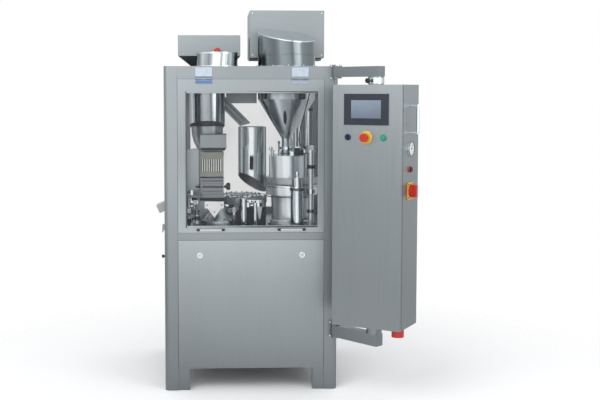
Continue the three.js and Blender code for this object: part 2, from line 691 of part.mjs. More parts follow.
// A square bar, bored for its pin at the bracket, with the swivel collar near its free end.
function swingArm(name, { low, high }, collarLow, collarHigh) {
  const reachX = SWIVEL.x - ARM_ROOT.x;
  const reachY = SWIVEL.y - ARM_ROOT.y;
  const length = Math.hypot(reachX, reachY);
  const half = ARM.width / 2;
  const bar = block(0, length + ARM.overhang, -half, half, low, high);
  const collar = rodZ(ARM.collar, length, 0, collarLow, collarHigh);
  const bore = rodZ(ARM.bore, 0, 0, low - 1, high + 1, 16);
  const arm = place(name, cut(join(bar, rodZ(half, 0, 0, low, high, 24), collar), bore), brushed);
  arm.position.set(ARM_ROOT.x, ARM_ROOT.y, 0);
  arm.rotation.z = Math.atan2(reachY, reachX);
}

function cabinetBody() {
  const { half, deep, low, high, wall } = CABINET;
  const inside = block(-half + wall, half - wall, -deep + wall, deep - wall, low + wall, high - wall);
  const entry = rodZ(18, INLET.x, INLET.y, low - 1, low + wall + 1, 20);
  return cut(block(-half, half, -deep, deep, low, high), inside, entry);
}

function cabinetHandle() {
  const { out, y, radius, low, high } = GRIP;
  const x = CABINET.half;
  const bar = rodZ(radius, x + out, y, low, high, 16);
  const feet = [low + radius, high - radius].map((z) => rodX(radius, y, z, x + GAP, x + out + 1, 16));
  return join(bar, ...feet);
}

function frontButtons() {
  const face = -CABINET.deep - GAP;
  const row = BUTTON_ROW;
  const stem = rodY(STOP.stem, STOP.x, row, face - 26, face - 4);
  const mushroom = rodY(STOP.head, STOP.x, row, face - 38, face - 24);
  place('estop_button', join(stem, mushroom), red, swivelled);
  place('start_button', rodY(START.radius, START.x, row, face - 12, face - 4), green, swivelled);
  const barrel = rodY(KEY.radius, KEY.x, row, face - 10, face);
  const bow = block(KEY.x - 3, KEY.x + 3, face - 18, face - 9, row - 10, row + 10);
  place('key_switch', join(barrel, bow), black, swivelled);
}

function sideControls() {
  const face = CABINET.half + GAP;
  const gauge = rodX(GAUGE.radius, 0, GAUGE.z, face, face + GAUGE.thick, 32);
  place('pressure_gauge', gauge, polished, swivelled);
  place('reset_button', rodX(RESET.radius, 0, RESET.z, face + 3, face + 11, 24), black, swivelled);
  const { z, radius, plateHalf, plateRise } = ISOLATOR;
  const plate = block(face, face + 5, -plateHalf, plateHalf, z - plateRise, z + plateRise);
  place('isolator_plate', plate, yellow, swivelled);
  const hub = rodX(radius, 0, z, face + 5 + GAP, face + 22, 28);
  const grip = block(face + 21, face + 38, -9, 9, z - radius + 2, z + radius - 2);
  place('isolator_knob', join(hub, grip), red, swivelled);
}

function powerInlet() {
  const { x, y, radius, bore, drop } = INLET;
  const { low } = CABINET;
  const shell = rodZ(radius, x, y, low - drop, low - GAP, 28);
  return cut(shell, rodZ(bore, x, y, low - drop - 1, low - 12, 28));
}

function screenBezel() {
  const face = -CABINET.deep - GAP;
  const { plan, window, proud, sunk } = BEZEL;
  const [x0, x1, z0, z1] = plan;
  const [u0, u1, v0, v1] = window;
  const recess = block(u0, u1, face - proud - 1, face - sunk, v0, v1);
  return cut(block(x0, x1, face - proud, face, z0, z1), recess);
}

function controlCabinet() {
  place('control_cabinet', cabinetBody(), painted, swivelled);
  place('screen_bezel', screenBezel(), bezelBlue, swivelled);
  place('cabinet_handle', cabinetHandle(), polished, swivelled);
  place('power_inlet', powerInlet(), red, swivelled);
  frontButtons();
  sideControls();
}

// ---- Assembly ----

frame();
sidePanel('left', -1, SIDE_WINDOW.leftLow);
sidePanel('right', 1, SIDE_WINDOW.rightLow);
doors();
lowerPanel();
capsuleFeed();
place('turret', turret(), polished);
place('suction_tube', suctionTube(), polished);
place('cone_cover', coneCover(), polished);
dischargeChute();
powderSide();
place('drive_base', driveBase(), dark);
place('arm_bracket_upper', armBracket(UPPER_ARM), brushed);
place('arm_bracket_lower', armBracket(LOWER_ARM), brushed);
swingArm('upper_arm', UPPER_ARM, CABINET.high + GAP, UPPER_ARM.low + 1);
swingArm('lower_arm', LOWER_ARM, LOWER_ARM.high - 1, CABINET.low - GAP);
controlCabinet();

// The origin is the middle of the overall footprint, on the floor.
const overall = new THREE.Box3().setFromObject(machine);
const middle = overall.getCenter(new THREE.Vector3());
machine.position.set(-middle.x, -middle.y, 0);

export default machine;
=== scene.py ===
"""Capsule filler: the visual model and its studio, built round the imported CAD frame.

Lengths are millimetres from the middle of the machine's front plane at floor level, with +X to
the right, +Y to the rear and +Z up. Pieces on the control cabinet use the cabinet's own axes,
from its swivel pivot. Both are turned into the row frame by the matrices MACHINE and CABINET.
"""

import json
import math

import bmesh
import bpy
from mathutils import Matrix, Vector


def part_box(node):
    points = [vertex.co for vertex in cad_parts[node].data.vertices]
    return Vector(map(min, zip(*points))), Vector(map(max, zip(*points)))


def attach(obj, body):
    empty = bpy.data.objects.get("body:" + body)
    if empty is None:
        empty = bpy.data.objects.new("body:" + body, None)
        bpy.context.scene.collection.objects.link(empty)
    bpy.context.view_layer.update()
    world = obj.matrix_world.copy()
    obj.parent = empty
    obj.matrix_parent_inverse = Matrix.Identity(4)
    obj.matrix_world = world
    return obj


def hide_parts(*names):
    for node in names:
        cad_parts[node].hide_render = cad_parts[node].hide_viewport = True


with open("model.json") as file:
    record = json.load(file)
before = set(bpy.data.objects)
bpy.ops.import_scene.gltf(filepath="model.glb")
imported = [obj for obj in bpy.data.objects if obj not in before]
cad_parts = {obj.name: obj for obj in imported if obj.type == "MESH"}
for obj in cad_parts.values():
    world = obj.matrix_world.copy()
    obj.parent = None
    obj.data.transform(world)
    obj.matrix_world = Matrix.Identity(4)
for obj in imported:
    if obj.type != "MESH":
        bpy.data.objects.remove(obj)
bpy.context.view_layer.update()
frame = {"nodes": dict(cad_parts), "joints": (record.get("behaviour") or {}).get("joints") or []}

# ---- Places taken from the frame ----

MM = 0.001
JOINTS = {joint["name"]: joint for joint in frame["joints"]}
LEFT_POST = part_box("post_front_left")
RIGHT_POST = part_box("post_front_right")
CENTRE_X = (LEFT_POST[0].x + RIGHT_POST[1].x) / 2
FRONT_Y = LEFT_POST[0].y
DECK = LEFT_POST[1].z / MM
MACHINE = Matrix.Translation((CENTRE_X, FRONT_Y, 0)) @ Matrix.Scale(MM, 4)

CABINET_TURN = math.radians(-31)
SWIVEL = Vector(JOINTS["cabinet_swivel"]["pos_m"])
SWIVEL.z = 0
CABINET = Matrix.Translation(SWIVEL) @ Matrix.Rotation(CABINET_TURN, 4, "Z") @ Matrix.Scale(MM, 4)
CAB_HALF = 176
CAB_DEEP = 113
CAB_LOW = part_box("control_cabinet")[0].z / MM
CAB_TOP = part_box("control_cabinet")[1].z / MM

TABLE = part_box("table_plate")[1].z / MM
SENSOR = (315, 120)             # plan centre of the level sensor's column
NECK = (195, 255)               # plan centre of the powder hopper's neck
HOPPER_CONE = (24.5, 1280, 151, 1488)   # radius and height at the neck, then at the cone's top
SUCTION_TUBE = (18, 372, 76)    # plan centre and radius; the tube's arm makes its box wider
SUCTION_CUT = ((0, 0, 1038), (-0.58, -0.46, -1))    # a place on the mouth's slope and the way it faces
SLOTS = [-248 + i * 11.75 for i in range(9)]    # middles of the magazine's slots
HOLES = [-243 + i * 11.75 for i in range(9)]    # middles of the sorting block's holes
SORTING_FACE = 119.9

FACING = {
    "up": Matrix.Identity(4),
    "down": Matrix.Rotation(math.pi, 4, "X"),
    "front": Matrix.Rotation(math.pi / 2, 4, "X"),
    "rear": Matrix.Rotation(-math.pi / 2, 4, "X"),
    "right": Matrix.Rotation(math.pi / 2, 4, "Y"),
    "left": Matrix.Rotation(-math.pi / 2, 4, "Y"),
}


def middle(node):
    """The centre of a CAD node in plan, in machine millimetres."""
    low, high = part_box(node)
    return ((low.x + high.x) / 2 - CENTRE_X) / MM, ((low.y + high.y) / 2 - FRONT_Y) / MM


# ---- Camera ----

LENS = 60.6
SHIFT = (0.073, -0.06)
CAMERA_PLACE = Vector((-170, -5090, 1530))
TURN_RIGHT = math.radians(2.2)
TIP_DOWN = math.radians(4.13)


def add_camera():
    """The photographer's camera: 60 mm lens, in front and a little left, at head height."""
    data = bpy.data.cameras.new("camera")
    data.lens = LENS
    data.sensor_width = 36
    data.shift_x, data.shift_y = SHIFT
    data.clip_end = 100
    camera = bpy.data.objects.new("camera", data)
    camera.location = MACHINE @ CAMERA_PLACE
    camera.rotation_euler = (math.pi / 2 - TIP_DOWN, 0, -TURN_RIGHT)
    bpy.context.scene.collection.objects.link(camera)
    bpy.context.scene.camera = camera


add_camera()

# ---- Materials ----


class Nodes:
    """A short way to build a node material: makes nodes and joins them."""

    def __init__(self, name, slot):
        self.material = bpy.data.materials.new(name)
        self.material.use_nodes = True
        self.material["slot"] = slot
        self.tree = self.material.node_tree
        self.shader = self.tree.nodes["Principled BSDF"]

    def add(self, kind, inputs=None, **settings):
        node = self.tree.nodes.new(kind)
        for key, value in settings.items():
            setattr(node, key, value)
        for key, value in (inputs or {}).items():
            self.join(value, node.inputs[key])
        return node

    def join(self, value, socket):
        if isinstance(value, bpy.types.NodeSocket):
            self.tree.links.new(value, socket)
        else:
            socket.default_value = value

    def grain(self, scale, detail=2.0, rough=0.5):
        """Noise in the object's own space, stretched by a scale along each axis."""
        place = self.add("ShaderNodeTexCoord").outputs["Object"]
        mapped = self.add("ShaderNodeMapping", {"Vector": place, "Scale": scale})
        noise = self.add(
            "ShaderNodeTexNoise",
            {"Vector": mapped.outputs["Vector"], "Scale": 1.0, "Detail": detail, "Roughness": rough},
        )
        return noise.outputs["Fac"]

    def height(self, low, high):
        """0 at a height of low metres and 1 at high."""
        place = self.add("ShaderNodeTexCoord").outputs["Object"]
        split = self.add("ShaderNodeSeparateXYZ", {"Vector": place})
        return self.span(split.outputs["Z"], low, high, 0.0, 1.0)

    def span(self, value, low, high, to_low, to_high):
        node = self.add(
            "ShaderNodeMapRange",
            {"Value": value, "From Min": low, "From Max": high, "To Min": to_low, "To Max": to_high},
        )
        return node.outputs["Result"]

    def ramp(self, value, stops):
        node = self.add("ShaderNodeValToRGB", {"Fac": value})
        ramp = node.color_ramp
        while len(ramp.elements) < len(stops):
            ramp.elements.new(0.5)
        for element, (position, colour) in zip(ramp.elements, stops):
            element.position = position
            element.color = (*colour, 1)
        return node.outputs["Color"]

    def mix(self, amount, first, second, blend="MULTIPLY"):
        node = self.add("ShaderNodeMix", data_type="RGBA", blend_type=blend)
        self.join(amount, node.inputs[0])
        self.join(first, node.inputs[6])
        self.join(second, node.inputs[7])
        return node.outputs[2]

    def bump(self, height, strength, distance=0.001):
        node = self.add("ShaderNodeBump", {"Height": height, "Strength": strength, "Distance": distance})
        self.join(node.outputs["Normal"], self.shader.inputs["Normal"])

    def set(self, **values):
        for key, value in values.items():
            self.join(value, self.shader.inputs[key.replace("_", " ")])
        return self.material


def grey(value, blue=1.0):
    """A grey with the slight blue of stainless steel; blue=0 leaves it neutral."""
    return (value, value * (1 + 0.1 * blue), value * (1 + 0.14 * blue))


def brushed(name, slot, shading_by_height, along=(420, 420, 5)):
    """Satin stainless sheet: fine straight grain, cloudy patches, and painted shade that darkens it towards
    the floor.

    The painted light and shade comes as (height in metres, grey value) pairs.
    """
    m = Nodes(name, slot)
    fine = m.grain(along, 3.0, 0.6)
    cloud = m.grain((1.3, 1.3, 0.8), 2.0)
    # Painted light and shade: the grey is set by height, mostly darker towards the floor.
    painted_shading = m.ramp(m.height(0.0, 2.0), [(height / 2.0, grey(value)) for height, value in shading_by_height])
    lines = m.ramp(fine, [(0.3, grey(0.91, 0)), (0.7, grey(1.0, 0))])
    patches = m.ramp(cloud, [(0.35, grey(0.9, 0)), (0.65, grey(1.0, 0))])
    colour = m.mix(1.0, m.mix(1.0, painted_shading, lines), patches)
    m.bump(fine, 0.05, 0.0004)
    return m.set(
        Base_Color=colour, Metallic=1.0, Anisotropic=0.3, Roughness=m.span(fine, 0.3, 0.7, 0.34, 0.42)
    )


def polished(name, bands, slot="polished_steel", rough=0.1, waver=0.1, metallic=1.0, upper=None):
    """Mirror steel with painted reflections: upright bands of light and dark are painted into the colour by
    the way each face points, and waver with the sheet.

    The bands are (side, grey value) pairs, where side runs from 0 at the left flank to 1 at the right.
    Other bands may take over above the deck.
    """
    m = Nodes(name, slot)
    normal = m.add("ShaderNodeTexCoord").outputs["Normal"]
    across = m.add("ShaderNodeSeparateXYZ", {"Vector": normal}).outputs["X"]
    ripple = m.span(m.grain((16, 16, 1.2), 2.5), 0.0, 1.0, -waver, waver)
    side = m.add("ShaderNodeMath", {0: m.span(across, -1.0, 1.0, 0.0, 1.0), 1: ripple}, operation="ADD")
    smear = m.grain((60, 60, 9), 3.0)
    # Painted reflection: the grey is set by which way the face points, from the left flank to the right.
    colour = m.ramp(side.outputs[0], [(place, grey(value)) for place, value in bands])
    if upper:
        # Painted reflection bands, a little bluer, for the part above the deck.
        satin = m.ramp(side.outputs[0], [(place, grey(value, 1.6)) for place, value in upper])
        colour = m.mix(m.height(DECK * MM - 0.01, DECK * MM + 0.01), colour, satin, "MIX")
    m.bump(smear, 0.02, 0.0005)
    return m.set(
        Base_Color=colour, Metallic=metallic, Roughness=m.span(smear, 0.3, 0.7, rough - 0.03, rough + 0.06)
    )


def moulded(name, slot, colour, rough=0.4, metallic=0.0):
    """Moulded plastic or paint: a fine orange-peel surface with slight unevenness in colour."""
    m = Nodes(name, slot)
    peel = m.grain((900, 900, 900), 1.0)
    cloud = m.grain((35, 35, 35), 2.0)
    tint = m.ramp(cloud, [(0.3, tuple(c * 0.86 for c in colour)), (0.7, colour)])
    m.bump(peel, 0.08, 0.0003)
    return m.set(
        Base_Color=tint, Metallic=metallic, Roughness=m.span(cloud, 0.3, 0.7, rough - 0.05, rough + 0.07)
    )


def machined(name, colour):
    """Milled alloy: close cutter marks across the face."""
    m = Nodes(name, "machined_alloy")
    marks = m.grain((60, 60, 900), 2.0)
    tint = m.ramp(marks, [(0.35, tuple(c * 0.86 for c in colour)), (0.65, colour)])
    m.bump(marks, 0.1, 0.0003)
    return m.set(Base_Color=tint, Metallic=0.8, Roughness=m.span(marks, 0.3, 0.7, 0.34, 0.48))


def clear_sheet():
    """Clear acrylic: most of the light goes straight through, with a grey tint and a smear of dust."""
    m = Nodes("clear_acrylic", "clear_pane")
    dust = m.grain((5, 5, 3), 3.0)
    return m.set(
        Base_Color=(0.12, 0.13, 0.15, 1), Roughness=0.04, Specular_IOR_Level=0.2,
        Alpha=m.span(dust, 0.3, 0.7, 0.07, 0.12),
    )


def screen_face():
    """The unlit control screen: grey-blue, with a painted reflection that makes it lighter towards the top,
    and a soft sheen.
    """
    m = Nodes("screen_face", "screen_plastic")
    cloud = m.grain((9, 9, 14), 2.0)
    # Painted reflection: the screen's colour grows lighter towards the top.
    painted_screen_reflection = m.ramp(m.height(1.39, 1.5), [(0.0, (0.13, 0.16, 0.21)), (1.0, (0.24, 0.29, 0.36))])
    colour = m.mix(0.35, painted_screen_reflection, m.ramp(cloud, [(0.3, grey(0.6)), (0.7, grey(1.0))]))
    return m.set(Base_Color=colour, Roughness=m.span(cloud, 0.3, 0.7, 0.18, 0.26), Coat_Weight=0.3)


# Painted light and shade for brushed steel: (height in metres, grey value) pairs, mostly darker towards the
# floor.
POST_PAINTED_SHADE = [(0.0, 0.21), (0.3, 0.25), (0.8, 0.33), (1.1, 0.36), (1.66, 0.32)]
DOOR_PAINTED_SHADE = [(0.1, 0.22), (0.3, 0.28), (0.55, 0.36), (0.78, 0.46), (1.2, 0.34), (1.6, 0.37)]
ARM_PAINTED_SHADE = [(0.28, 0.23), (0.4, 0.27), (1.5, 0.3), (1.7, 0.32)]
CABINET_PAINTED_SHADE = [(0.4, 0.28), (0.8, 0.33), (1.3, 0.38), (1.56, 0.42)]
BIN_PAINTED_SHADE = [(1.6, 0.29), (1.8, 0.31), (2.0, 0.34)]
# Painted reflections for polished steel: (side, grey value) bands of light and dark, set by which way a face
# points.
CHROME_BANDS = [
    (0.02, 0.12), (0.16, 0.7), (0.3, 0.34), (0.42, 0.85), (0.6, 0.62), (0.74, 0.2), (0.86, 0.72),
    (0.98, 0.14),
]
BRIGHT_BANDS = [(0.02, 0.3), (0.2, 0.85), (0.38, 0.95), (0.6, 0.7), (0.75, 0.9), (0.97, 0.32)]
TUBE_BANDS = [
    (0.0, 0.4), (0.07, 0.2), (0.12, 0.75), (0.2, 0.35), (0.28, 0.95), (0.5, 0.95), (0.6, 0.4),
    (0.72, 0.8), (0.84, 0.18), (0.92, 0.6), (1.0, 0.2),
]
FEED_BANDS = [
    (0.03, 0.4), (0.1, 0.8), (0.2, 0.2), (0.28, 0.85), (0.42, 0.42), (0.62, 0.3), (0.78, 0.6),
    (0.97, 0.2),
]
CONE_BANDS = [
    (0.0, 0.2), (0.12, 0.28), (0.24, 0.9), (0.34, 0.75), (0.42, 0.4), (0.52, 0.3), (0.6, 0.62),
    (0.7, 0.34), (0.84, 0.66), (1.0, 0.3),
]
BASE_BANDS = [
    (0.0, 0.25), (0.05, 0.75), (0.12, 0.4), (0.2, 0.98), (0.42, 0.98), (0.47, 0.2), (0.56, 0.8),
    (0.8, 0.3), (0.88, 0.85), (1.0, 0.4),
]
DRUM_BANDS = [
    (0.0, 0.5), (0.06, 0.85), (0.1, 0.35), (0.15, 0.95), (0.55, 0.98), (0.62, 0.35), (0.68, 0.7),
    (0.8, 0.5), (0.9, 0.8), (1.0, 0.4),
]
SATIN_BANDS = [(0.05, 0.3), (0.25, 0.17), (0.45, 0.21), (0.6, 0.15), (0.78, 0.24), (0.95, 0.16)]
DULL_BANDS = [(0.0, 0.12), (0.45, 0.17), (0.6, 0.13), (1.0, 0.1)]
BLUED_BANDS = [(0.0, 0.3), (0.3, 0.5), (0.55, 0.4), (0.8, 0.55), (1.0, 0.25)]
PLATE_BANDS = [(0.0, 0.12), (0.2, 0.5), (0.5, 0.3), (0.8, 0.45), (1.0, 0.2)]
COVER_BANDS = [(0.0, 0.25), (0.15, 0.5), (0.35, 0.35), (0.55, 0.6), (0.8, 0.3), (1.0, 0.5)]

STEEL = brushed("brushed_posts", "brushed_steel", POST_PAINTED_SHADE)
DOOR_STEEL = brushed("brushed_doors", "brushed_steel", DOOR_PAINTED_SHADE, (520, 520, 4))
ARM_STEEL = brushed("brushed_arms", "brushed_steel", ARM_PAINTED_SHADE, (5, 60, 420))
CABINET_STEEL = brushed("brushed_cabinet", "cabinet_steel", CABINET_PAINTED_SHADE, (460, 460, 4))
BIN_STEEL = brushed("brushed_bins", "cabinet_steel", BIN_PAINTED_SHADE, (5, 5, 420))
CHROME = polished("polished_steel", CHROME_BANDS)
BRIGHT = polished("bright_steel", BRIGHT_BANDS)
# Its streaks are painted reflections: bands of light and dark set by which way each face points.
REFLECTION_BANDED = polished("steel_with_painted_reflections", TUBE_BANDS, metallic=0.8)
FEED_STEEL = polished("feed_tube_steel", FEED_BANDS)
BASE_STEEL = polished("base_steel", BASE_BANDS, metallic=0.5)
DRUM_STEEL = polished("drum_steel", DRUM_BANDS, rough=0.14, metallic=0.5)
SPUN = polished("spun_cone", CONE_BANDS, rough=0.2, waver=0.03, upper=SATIN_BANDS)
SATIN = polished("satin_hopper", SATIN_BANDS, rough=0.24, waver=0.08)
DULL = polished("dull_steel", DULL_BANDS, rough=0.32)
LINER = moulded("bead_blasted_steel", "polished_steel", (0.24, 0.25, 0.26), 0.5, 0.6)
BLUED = polished("blued_steel", BLUED_BANDS, rough=0.22, metallic=0.5)
PLATE_STEEL = polished("plate_steel", PLATE_BANDS, rough=0.34)
COVER_STEEL = polished("cover_steel", COVER_BANDS, rough=0.3)
# Painted light and shade: the sheet's grey is lighter towards the top.
SIDE_PLATE = brushed("bright_sheet", "brushed_steel", [(0.8, 0.5), (1.3, 0.62)])
GRIP_STEEL = moulded("satin_grips", "polished_steel", (0.58, 0.61, 0.62), 0.3, 1.0)
ALLOY = machined("milled_alloy", (0.3, 0.31, 0.27))
BLOCK_ALLOY = machined("block_alloy", (0.27, 0.29, 0.31))
IRON = moulded("dark_iron", "dark_iron", (0.045, 0.047, 0.05), 0.5, 0.4)
# Black steel for dark parts, and painted shade where it stands in for the dark inside the feed tube's mouth,
# the sorting block's holes, the bowl plate's chamfer and the channel's grooves.
SHADOW = moulded("black_steel_and_painted_shade", "dark_iron", (0.012, 0.013, 0.014), 0.55, 0.2)
PANE = clear_sheet()
BEZEL = moulded("bezel_plastic", "screen_plastic", (0.014, 0.021, 0.036), 0.4)
SCREEN = screen_face()
BLACK = moulded("black_plastic", "black_plastic", (0.012, 0.012, 0.014), 0.42)
RED = moulded("red_plastic", "red_plastic", (0.52, 0.022, 0.012), 0.28)
YELLOW = moulded("yellow_plastic", "yellow_plastic", (0.72, 0.44, 0.05), 0.4)
GREEN = moulded("green_plastic", "green_plastic", (0.02, 0.3, 0.2), 0.3)
BLUE = moulded("blue_plastic", "screen_plastic", (0.03, 0.07, 0.2), 0.35)
DIAL = moulded("dial_face", "gauge_steel", (0.82, 0.83, 0.82), 0.5)
PALE = moulded("pale_enamel", "gauge_steel", (0.86, 0.86, 0.85), 0.3, 0.3)
FILM_WHITE = moulded("white_film", "screen_plastic", (0.5, 0.57, 0.66), 0.35)
FILM_BLUE = moulded("blue_film", "screen_plastic", (0.1, 0.2, 0.42), 0.35)
FILM_PALE = moulded("pale_film", "screen_plastic", (0.36, 0.42, 0.54), 0.35)

NODE_LOOKS = {
    STEEL: "post_front_left post_front_right post_rear_left post_rear_right top_deck table_plate"
    " left_side_panel right_side_panel rear_lower_panel arm_bracket_upper"
    " arm_bracket_lower",
    DOOR_STEEL: "front_door rear_door lower_front_panel",
    SIDE_PLATE: "feed_column",
    ARM_STEEL: "upper_arm lower_arm",
    CABINET_STEEL: "control_cabinet",
    BIN_STEEL: "feeder_housing capsule_bin",
    CHROME: "capsule_hopper tamping_head",
    BASE_STEEL: "dosing_base",
    DRUM_STEEL: "powder_drum",
    BRIGHT: "hopper_lid cabinet_handle powder_lid pressure_gauge guide_post",
    GRIP_STEEL: "door_handle_left door_handle_right panel_lock_left panel_lock_right",
    REFLECTION_BANDED: "suction_tube",
    FEED_STEEL: "feed_tube",
    SPUN: "powder_hopper",
    BLUED: "powder_ring turret",
    DULL: "transfer_channel",
    PLATE_STEEL: "capsule_bowl discharge_chute",
    COVER_STEEL: "cone_cover",
    ALLOY: "magazine dosing_disc",
    BLOCK_ALLOY: "sorting_block",
    IRON: "drive_base",
    PANE: "left_window_pane right_window_pane front_door_pane rear_door_pane",
    BEZEL: "screen_bezel",
    BLACK: "key_switch reset_button sensor_lead",
    RED: "lid_knob estop_button isolator_knob power_inlet",
    YELLOW: "isolator_plate",
    GREEN: "start_button",
}


def soften(obj, width, angle=30):
    """Welds split corners, rounds the sharp edges and shades the rest smooth."""
    weld = obj.modifiers.new("weld", "WELD")
    weld.merge_threshold = 1e-5
    bevel = obj.modifiers.new("bevel", "BEVEL")
    bevel.width = width * MM
    bevel.segments = 2
    bevel.limit_method = "ANGLE"
    bevel.angle_limit = math.radians(angle)
    bevel.use_clamp_overlap = True
    obj.modifiers.new("normals", "WEIGHTED_NORMAL").keep_sharp = True


def dress_nodes():
    """Gives every CAD node its material and softened edges."""
    for look, names in NODE_LOOKS.items():
        for name in names.split():
            node = frame["nodes"][name]
            node.data.materials.clear()
            node.data.materials.append(look)
            for face in node.data.polygons:
                face.use_smooth = True
                face.material_index = 0
            soften(node, 0.5)


dress_nodes()

# ---- Shapes, as bmeshes in millimetres ----


def box(x0, x1, y0, y1, z0, z1):
    bm = bmesh.new()
    size = Matrix.Diagonal((x1 - x0, y1 - y0, z1 - z0, 1))
    centre = Matrix.Translation(((x0 + x1) / 2, (y0 + y1) / 2, (z0 + z1) / 2))
    bmesh.ops.create_cube(bm, size=1, matrix=centre @ size)
    return bm


def turned(profile, sides=48):
    """A solid of revolution about Z; a profile off the axis is closed on itself."""
    bm = bmesh.new()
    rings = []
    for radius, z in profile:
        if radius == 0:
            rings.append([bm.verts.new((0, 0, z))])
            continue
        turn = [2 * math.pi * i / sides for i in range(sides)]
        rings.append([bm.verts.new((radius * math.cos(a), radius * math.sin(a), z)) for a in turn])
    pairs = list(zip(rings, rings[1:]))
    if profile[0][0] != 0:
        pairs.append((rings[-1], rings[0]))
    for low, high in pairs:
        for i in range(sides):
            j = (i + 1) % sides
            corners = [low[i % len(low)], low[j % len(low)], high[j % len(high)], high[i % len(high)]]
            distinct = list(dict.fromkeys(corners))
            if len(distinct) > 2:
                bm.faces.new(distinct)
    return bm


def cylinder(radius, z0, z1, sides=20):
    return turned([(0, z0), (radius, z0), (radius, z1), (0, z1)], sides)


def ball(radius, centre):
    """A ball with its centre at a height."""
    turn = [i * math.pi / 10 for i in range(11)]
    return turned([(radius * math.sin(a), centre - radius * math.cos(a)) for a in turn], 24)


def tube(points, radius, sides=12):
    """A round bar that follows a smooth curve through the points."""
    path = smooth_path([Vector(p) for p in points])
    bm = bmesh.new()
    side = Vector((0, 0, 1))
    if abs((path[1] - path[0]).normalized().dot(side)) > 0.9:
        side = Vector((1, 0, 0))
    rings = []
    for i, point in enumerate(path):
        ahead = path[min(i + 1, len(path) - 1)] - path[max(i - 1, 0)]
        ahead.normalize()
        side = (side - ahead * side.dot(ahead)).normalized()
        up = ahead.cross(side)
        turn = [2 * math.pi * k / sides for k in range(sides)]
        rings.append([bm.verts.new(point + (side * math.cos(a) + up * math.sin(a)) * radius) for a in turn])
    for low, high in zip(rings, rings[1:]):
        for k in range(sides):
            j = (k + 1) % sides
            bm.faces.new([low[k], low[j], high[j], high[k]])
    bm.faces.new(rings[0])
    bm.faces.new(rings[-1])
    return bm


def smooth_path(points, steps=6):
    """A Catmull-Rom curve through the points."""
    if len(points) < 3:
        return points
    ends = [points[0] * 2 - points[1], *points, points[-1] * 2 - points[-2]]
    path = []
    for a, b, c, d in zip(ends, ends[1:], ends[2:], ends[3:]):
        for step in range(steps):
            t = step / steps
            path.append(0.5 * (2 * b + (c - a) * t + (2 * a - 5 * b + 4 * c - d) * t * t
                               + (3 * b - a - 3 * c + d) * t ** 3))
    return [*path, points[-1]]


def outline(points, y0, y1):
    """A flat shape in X and Z, made thick along Y."""
    bm = bmesh.new()
    near = [bm.verts.new((x, y0, z)) for x, z in points]
    far = [bm.verts.new((x, y1, z)) for x, z in points]
    bm.faces.new(near)
    bm.faces.new(far[::-1])
    for i in range(len(points)):
        j = (i + 1) % len(points)
        bm.faces.new([near[i], far[i], far[j], near[j]])
    return bm


def spot(x, y, z, facing="up", base=MACHINE):
    """The matrix that puts a shape at a place, its own Z turned to a side."""
    return base @ Matrix.Translation((x, y, z)) @ FACING[facing]


def merged(shapes):
    """Several placed shapes as one bmesh in metres; shapes are (bmesh, matrix) pairs."""
    whole = bmesh.new()
    for bm, matrix in shapes:
        bm.transform(matrix)
        mesh = bpy.data.meshes.new("part")
        bm.to_mesh(mesh)
        bm.free()
        whole.from_mesh(mesh)
        bpy.data.meshes.remove(mesh)
    return whole


def piece(name, body, look, *shapes, edge=0.4, angle=30):
    """One named piece, made of placed shapes, that rides on a body."""
    bm = merged([shape if isinstance(shape, tuple) else (shape, MACHINE) for shape in shapes])
    bmesh.ops.recalc_face_normals(bm, faces=bm.faces)
    mesh = bpy.data.meshes.new(name)
    bm.to_mesh(mesh)
    bm.free()
    for face in mesh.polygons:
        face.use_smooth = True
    mesh.materials.append(look)
    obj = bpy.data.objects.new(name, mesh)
    bpy.context.scene.collection.objects.link(obj)
    soften(obj, edge, angle)
    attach(obj, body)
    return obj


def screw_head(radius):
    """A socket cap screw, its hexagon socket sunk in the head."""
    high = radius * 0.9
    return turned([(0, high * 0.45), (radius * 0.5, high * 0.45), (radius * 0.55, high),
                   (radius * 0.85, high), (radius, high * 0.75), (radius, 0), (0, 0)], 24)


def screws(name, body, look, places, radius=4.0):
    return piece(name, body, look, *[(screw_head(radius), place) for place in places], edge=0.15)


def ring(inner, outer, z0, z1):
    return turned([(inner, z0), (outer, z0), (outer, z1), (inner, z1)], 64)


# ---- The level sensor's lead ----

LEAD_DIAMETER = 5.2
LEAD_ROUTE = [
    (318, 120, 1634.7), (318, 120, 1622), (317.3, 120, 1606), (314.5, 119.5, 1576), (310, 119, 1544),
    (304, 118, 1512), (297, 117, 1481), (289, 116, 1451), (281, 115, 1422), (273, 114, 1393),
    (266, 113.4, 1366), (259.5, 113, 1338), (255, 113, 1313), (252.6, 113.5, 1293), (252, 114.5, 1275),
    (254.7, 116, 1261.2), (262.5, 117.6, 1249.5), (274.2, 119.2, 1241.7), (287.7, 120, 1239),
]


def sensor_lead():
    """It hangs from its gland under the deck and turns into the sensor's head."""
    lead = piece("level_sensor_lead", "frame", BLACK, tube(LEAD_ROUTE, LEAD_DIAMETER / 2), edge=0.01)
    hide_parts("sensor_lead")


sensor_lead()

# ---- Frame, doors and panels ----

HINGES = (-238, 247)
FILM_HALF = 42
WINDOW = (-326, 339, 847.6, 1520)
REAR_WINDOW = (-330, 330, 848, 1520)
DEPTH = 860
SIDE_SCREWS = [(y, z) for y in (84, 430, 776) for z in (130, 700, 790, 1575)]


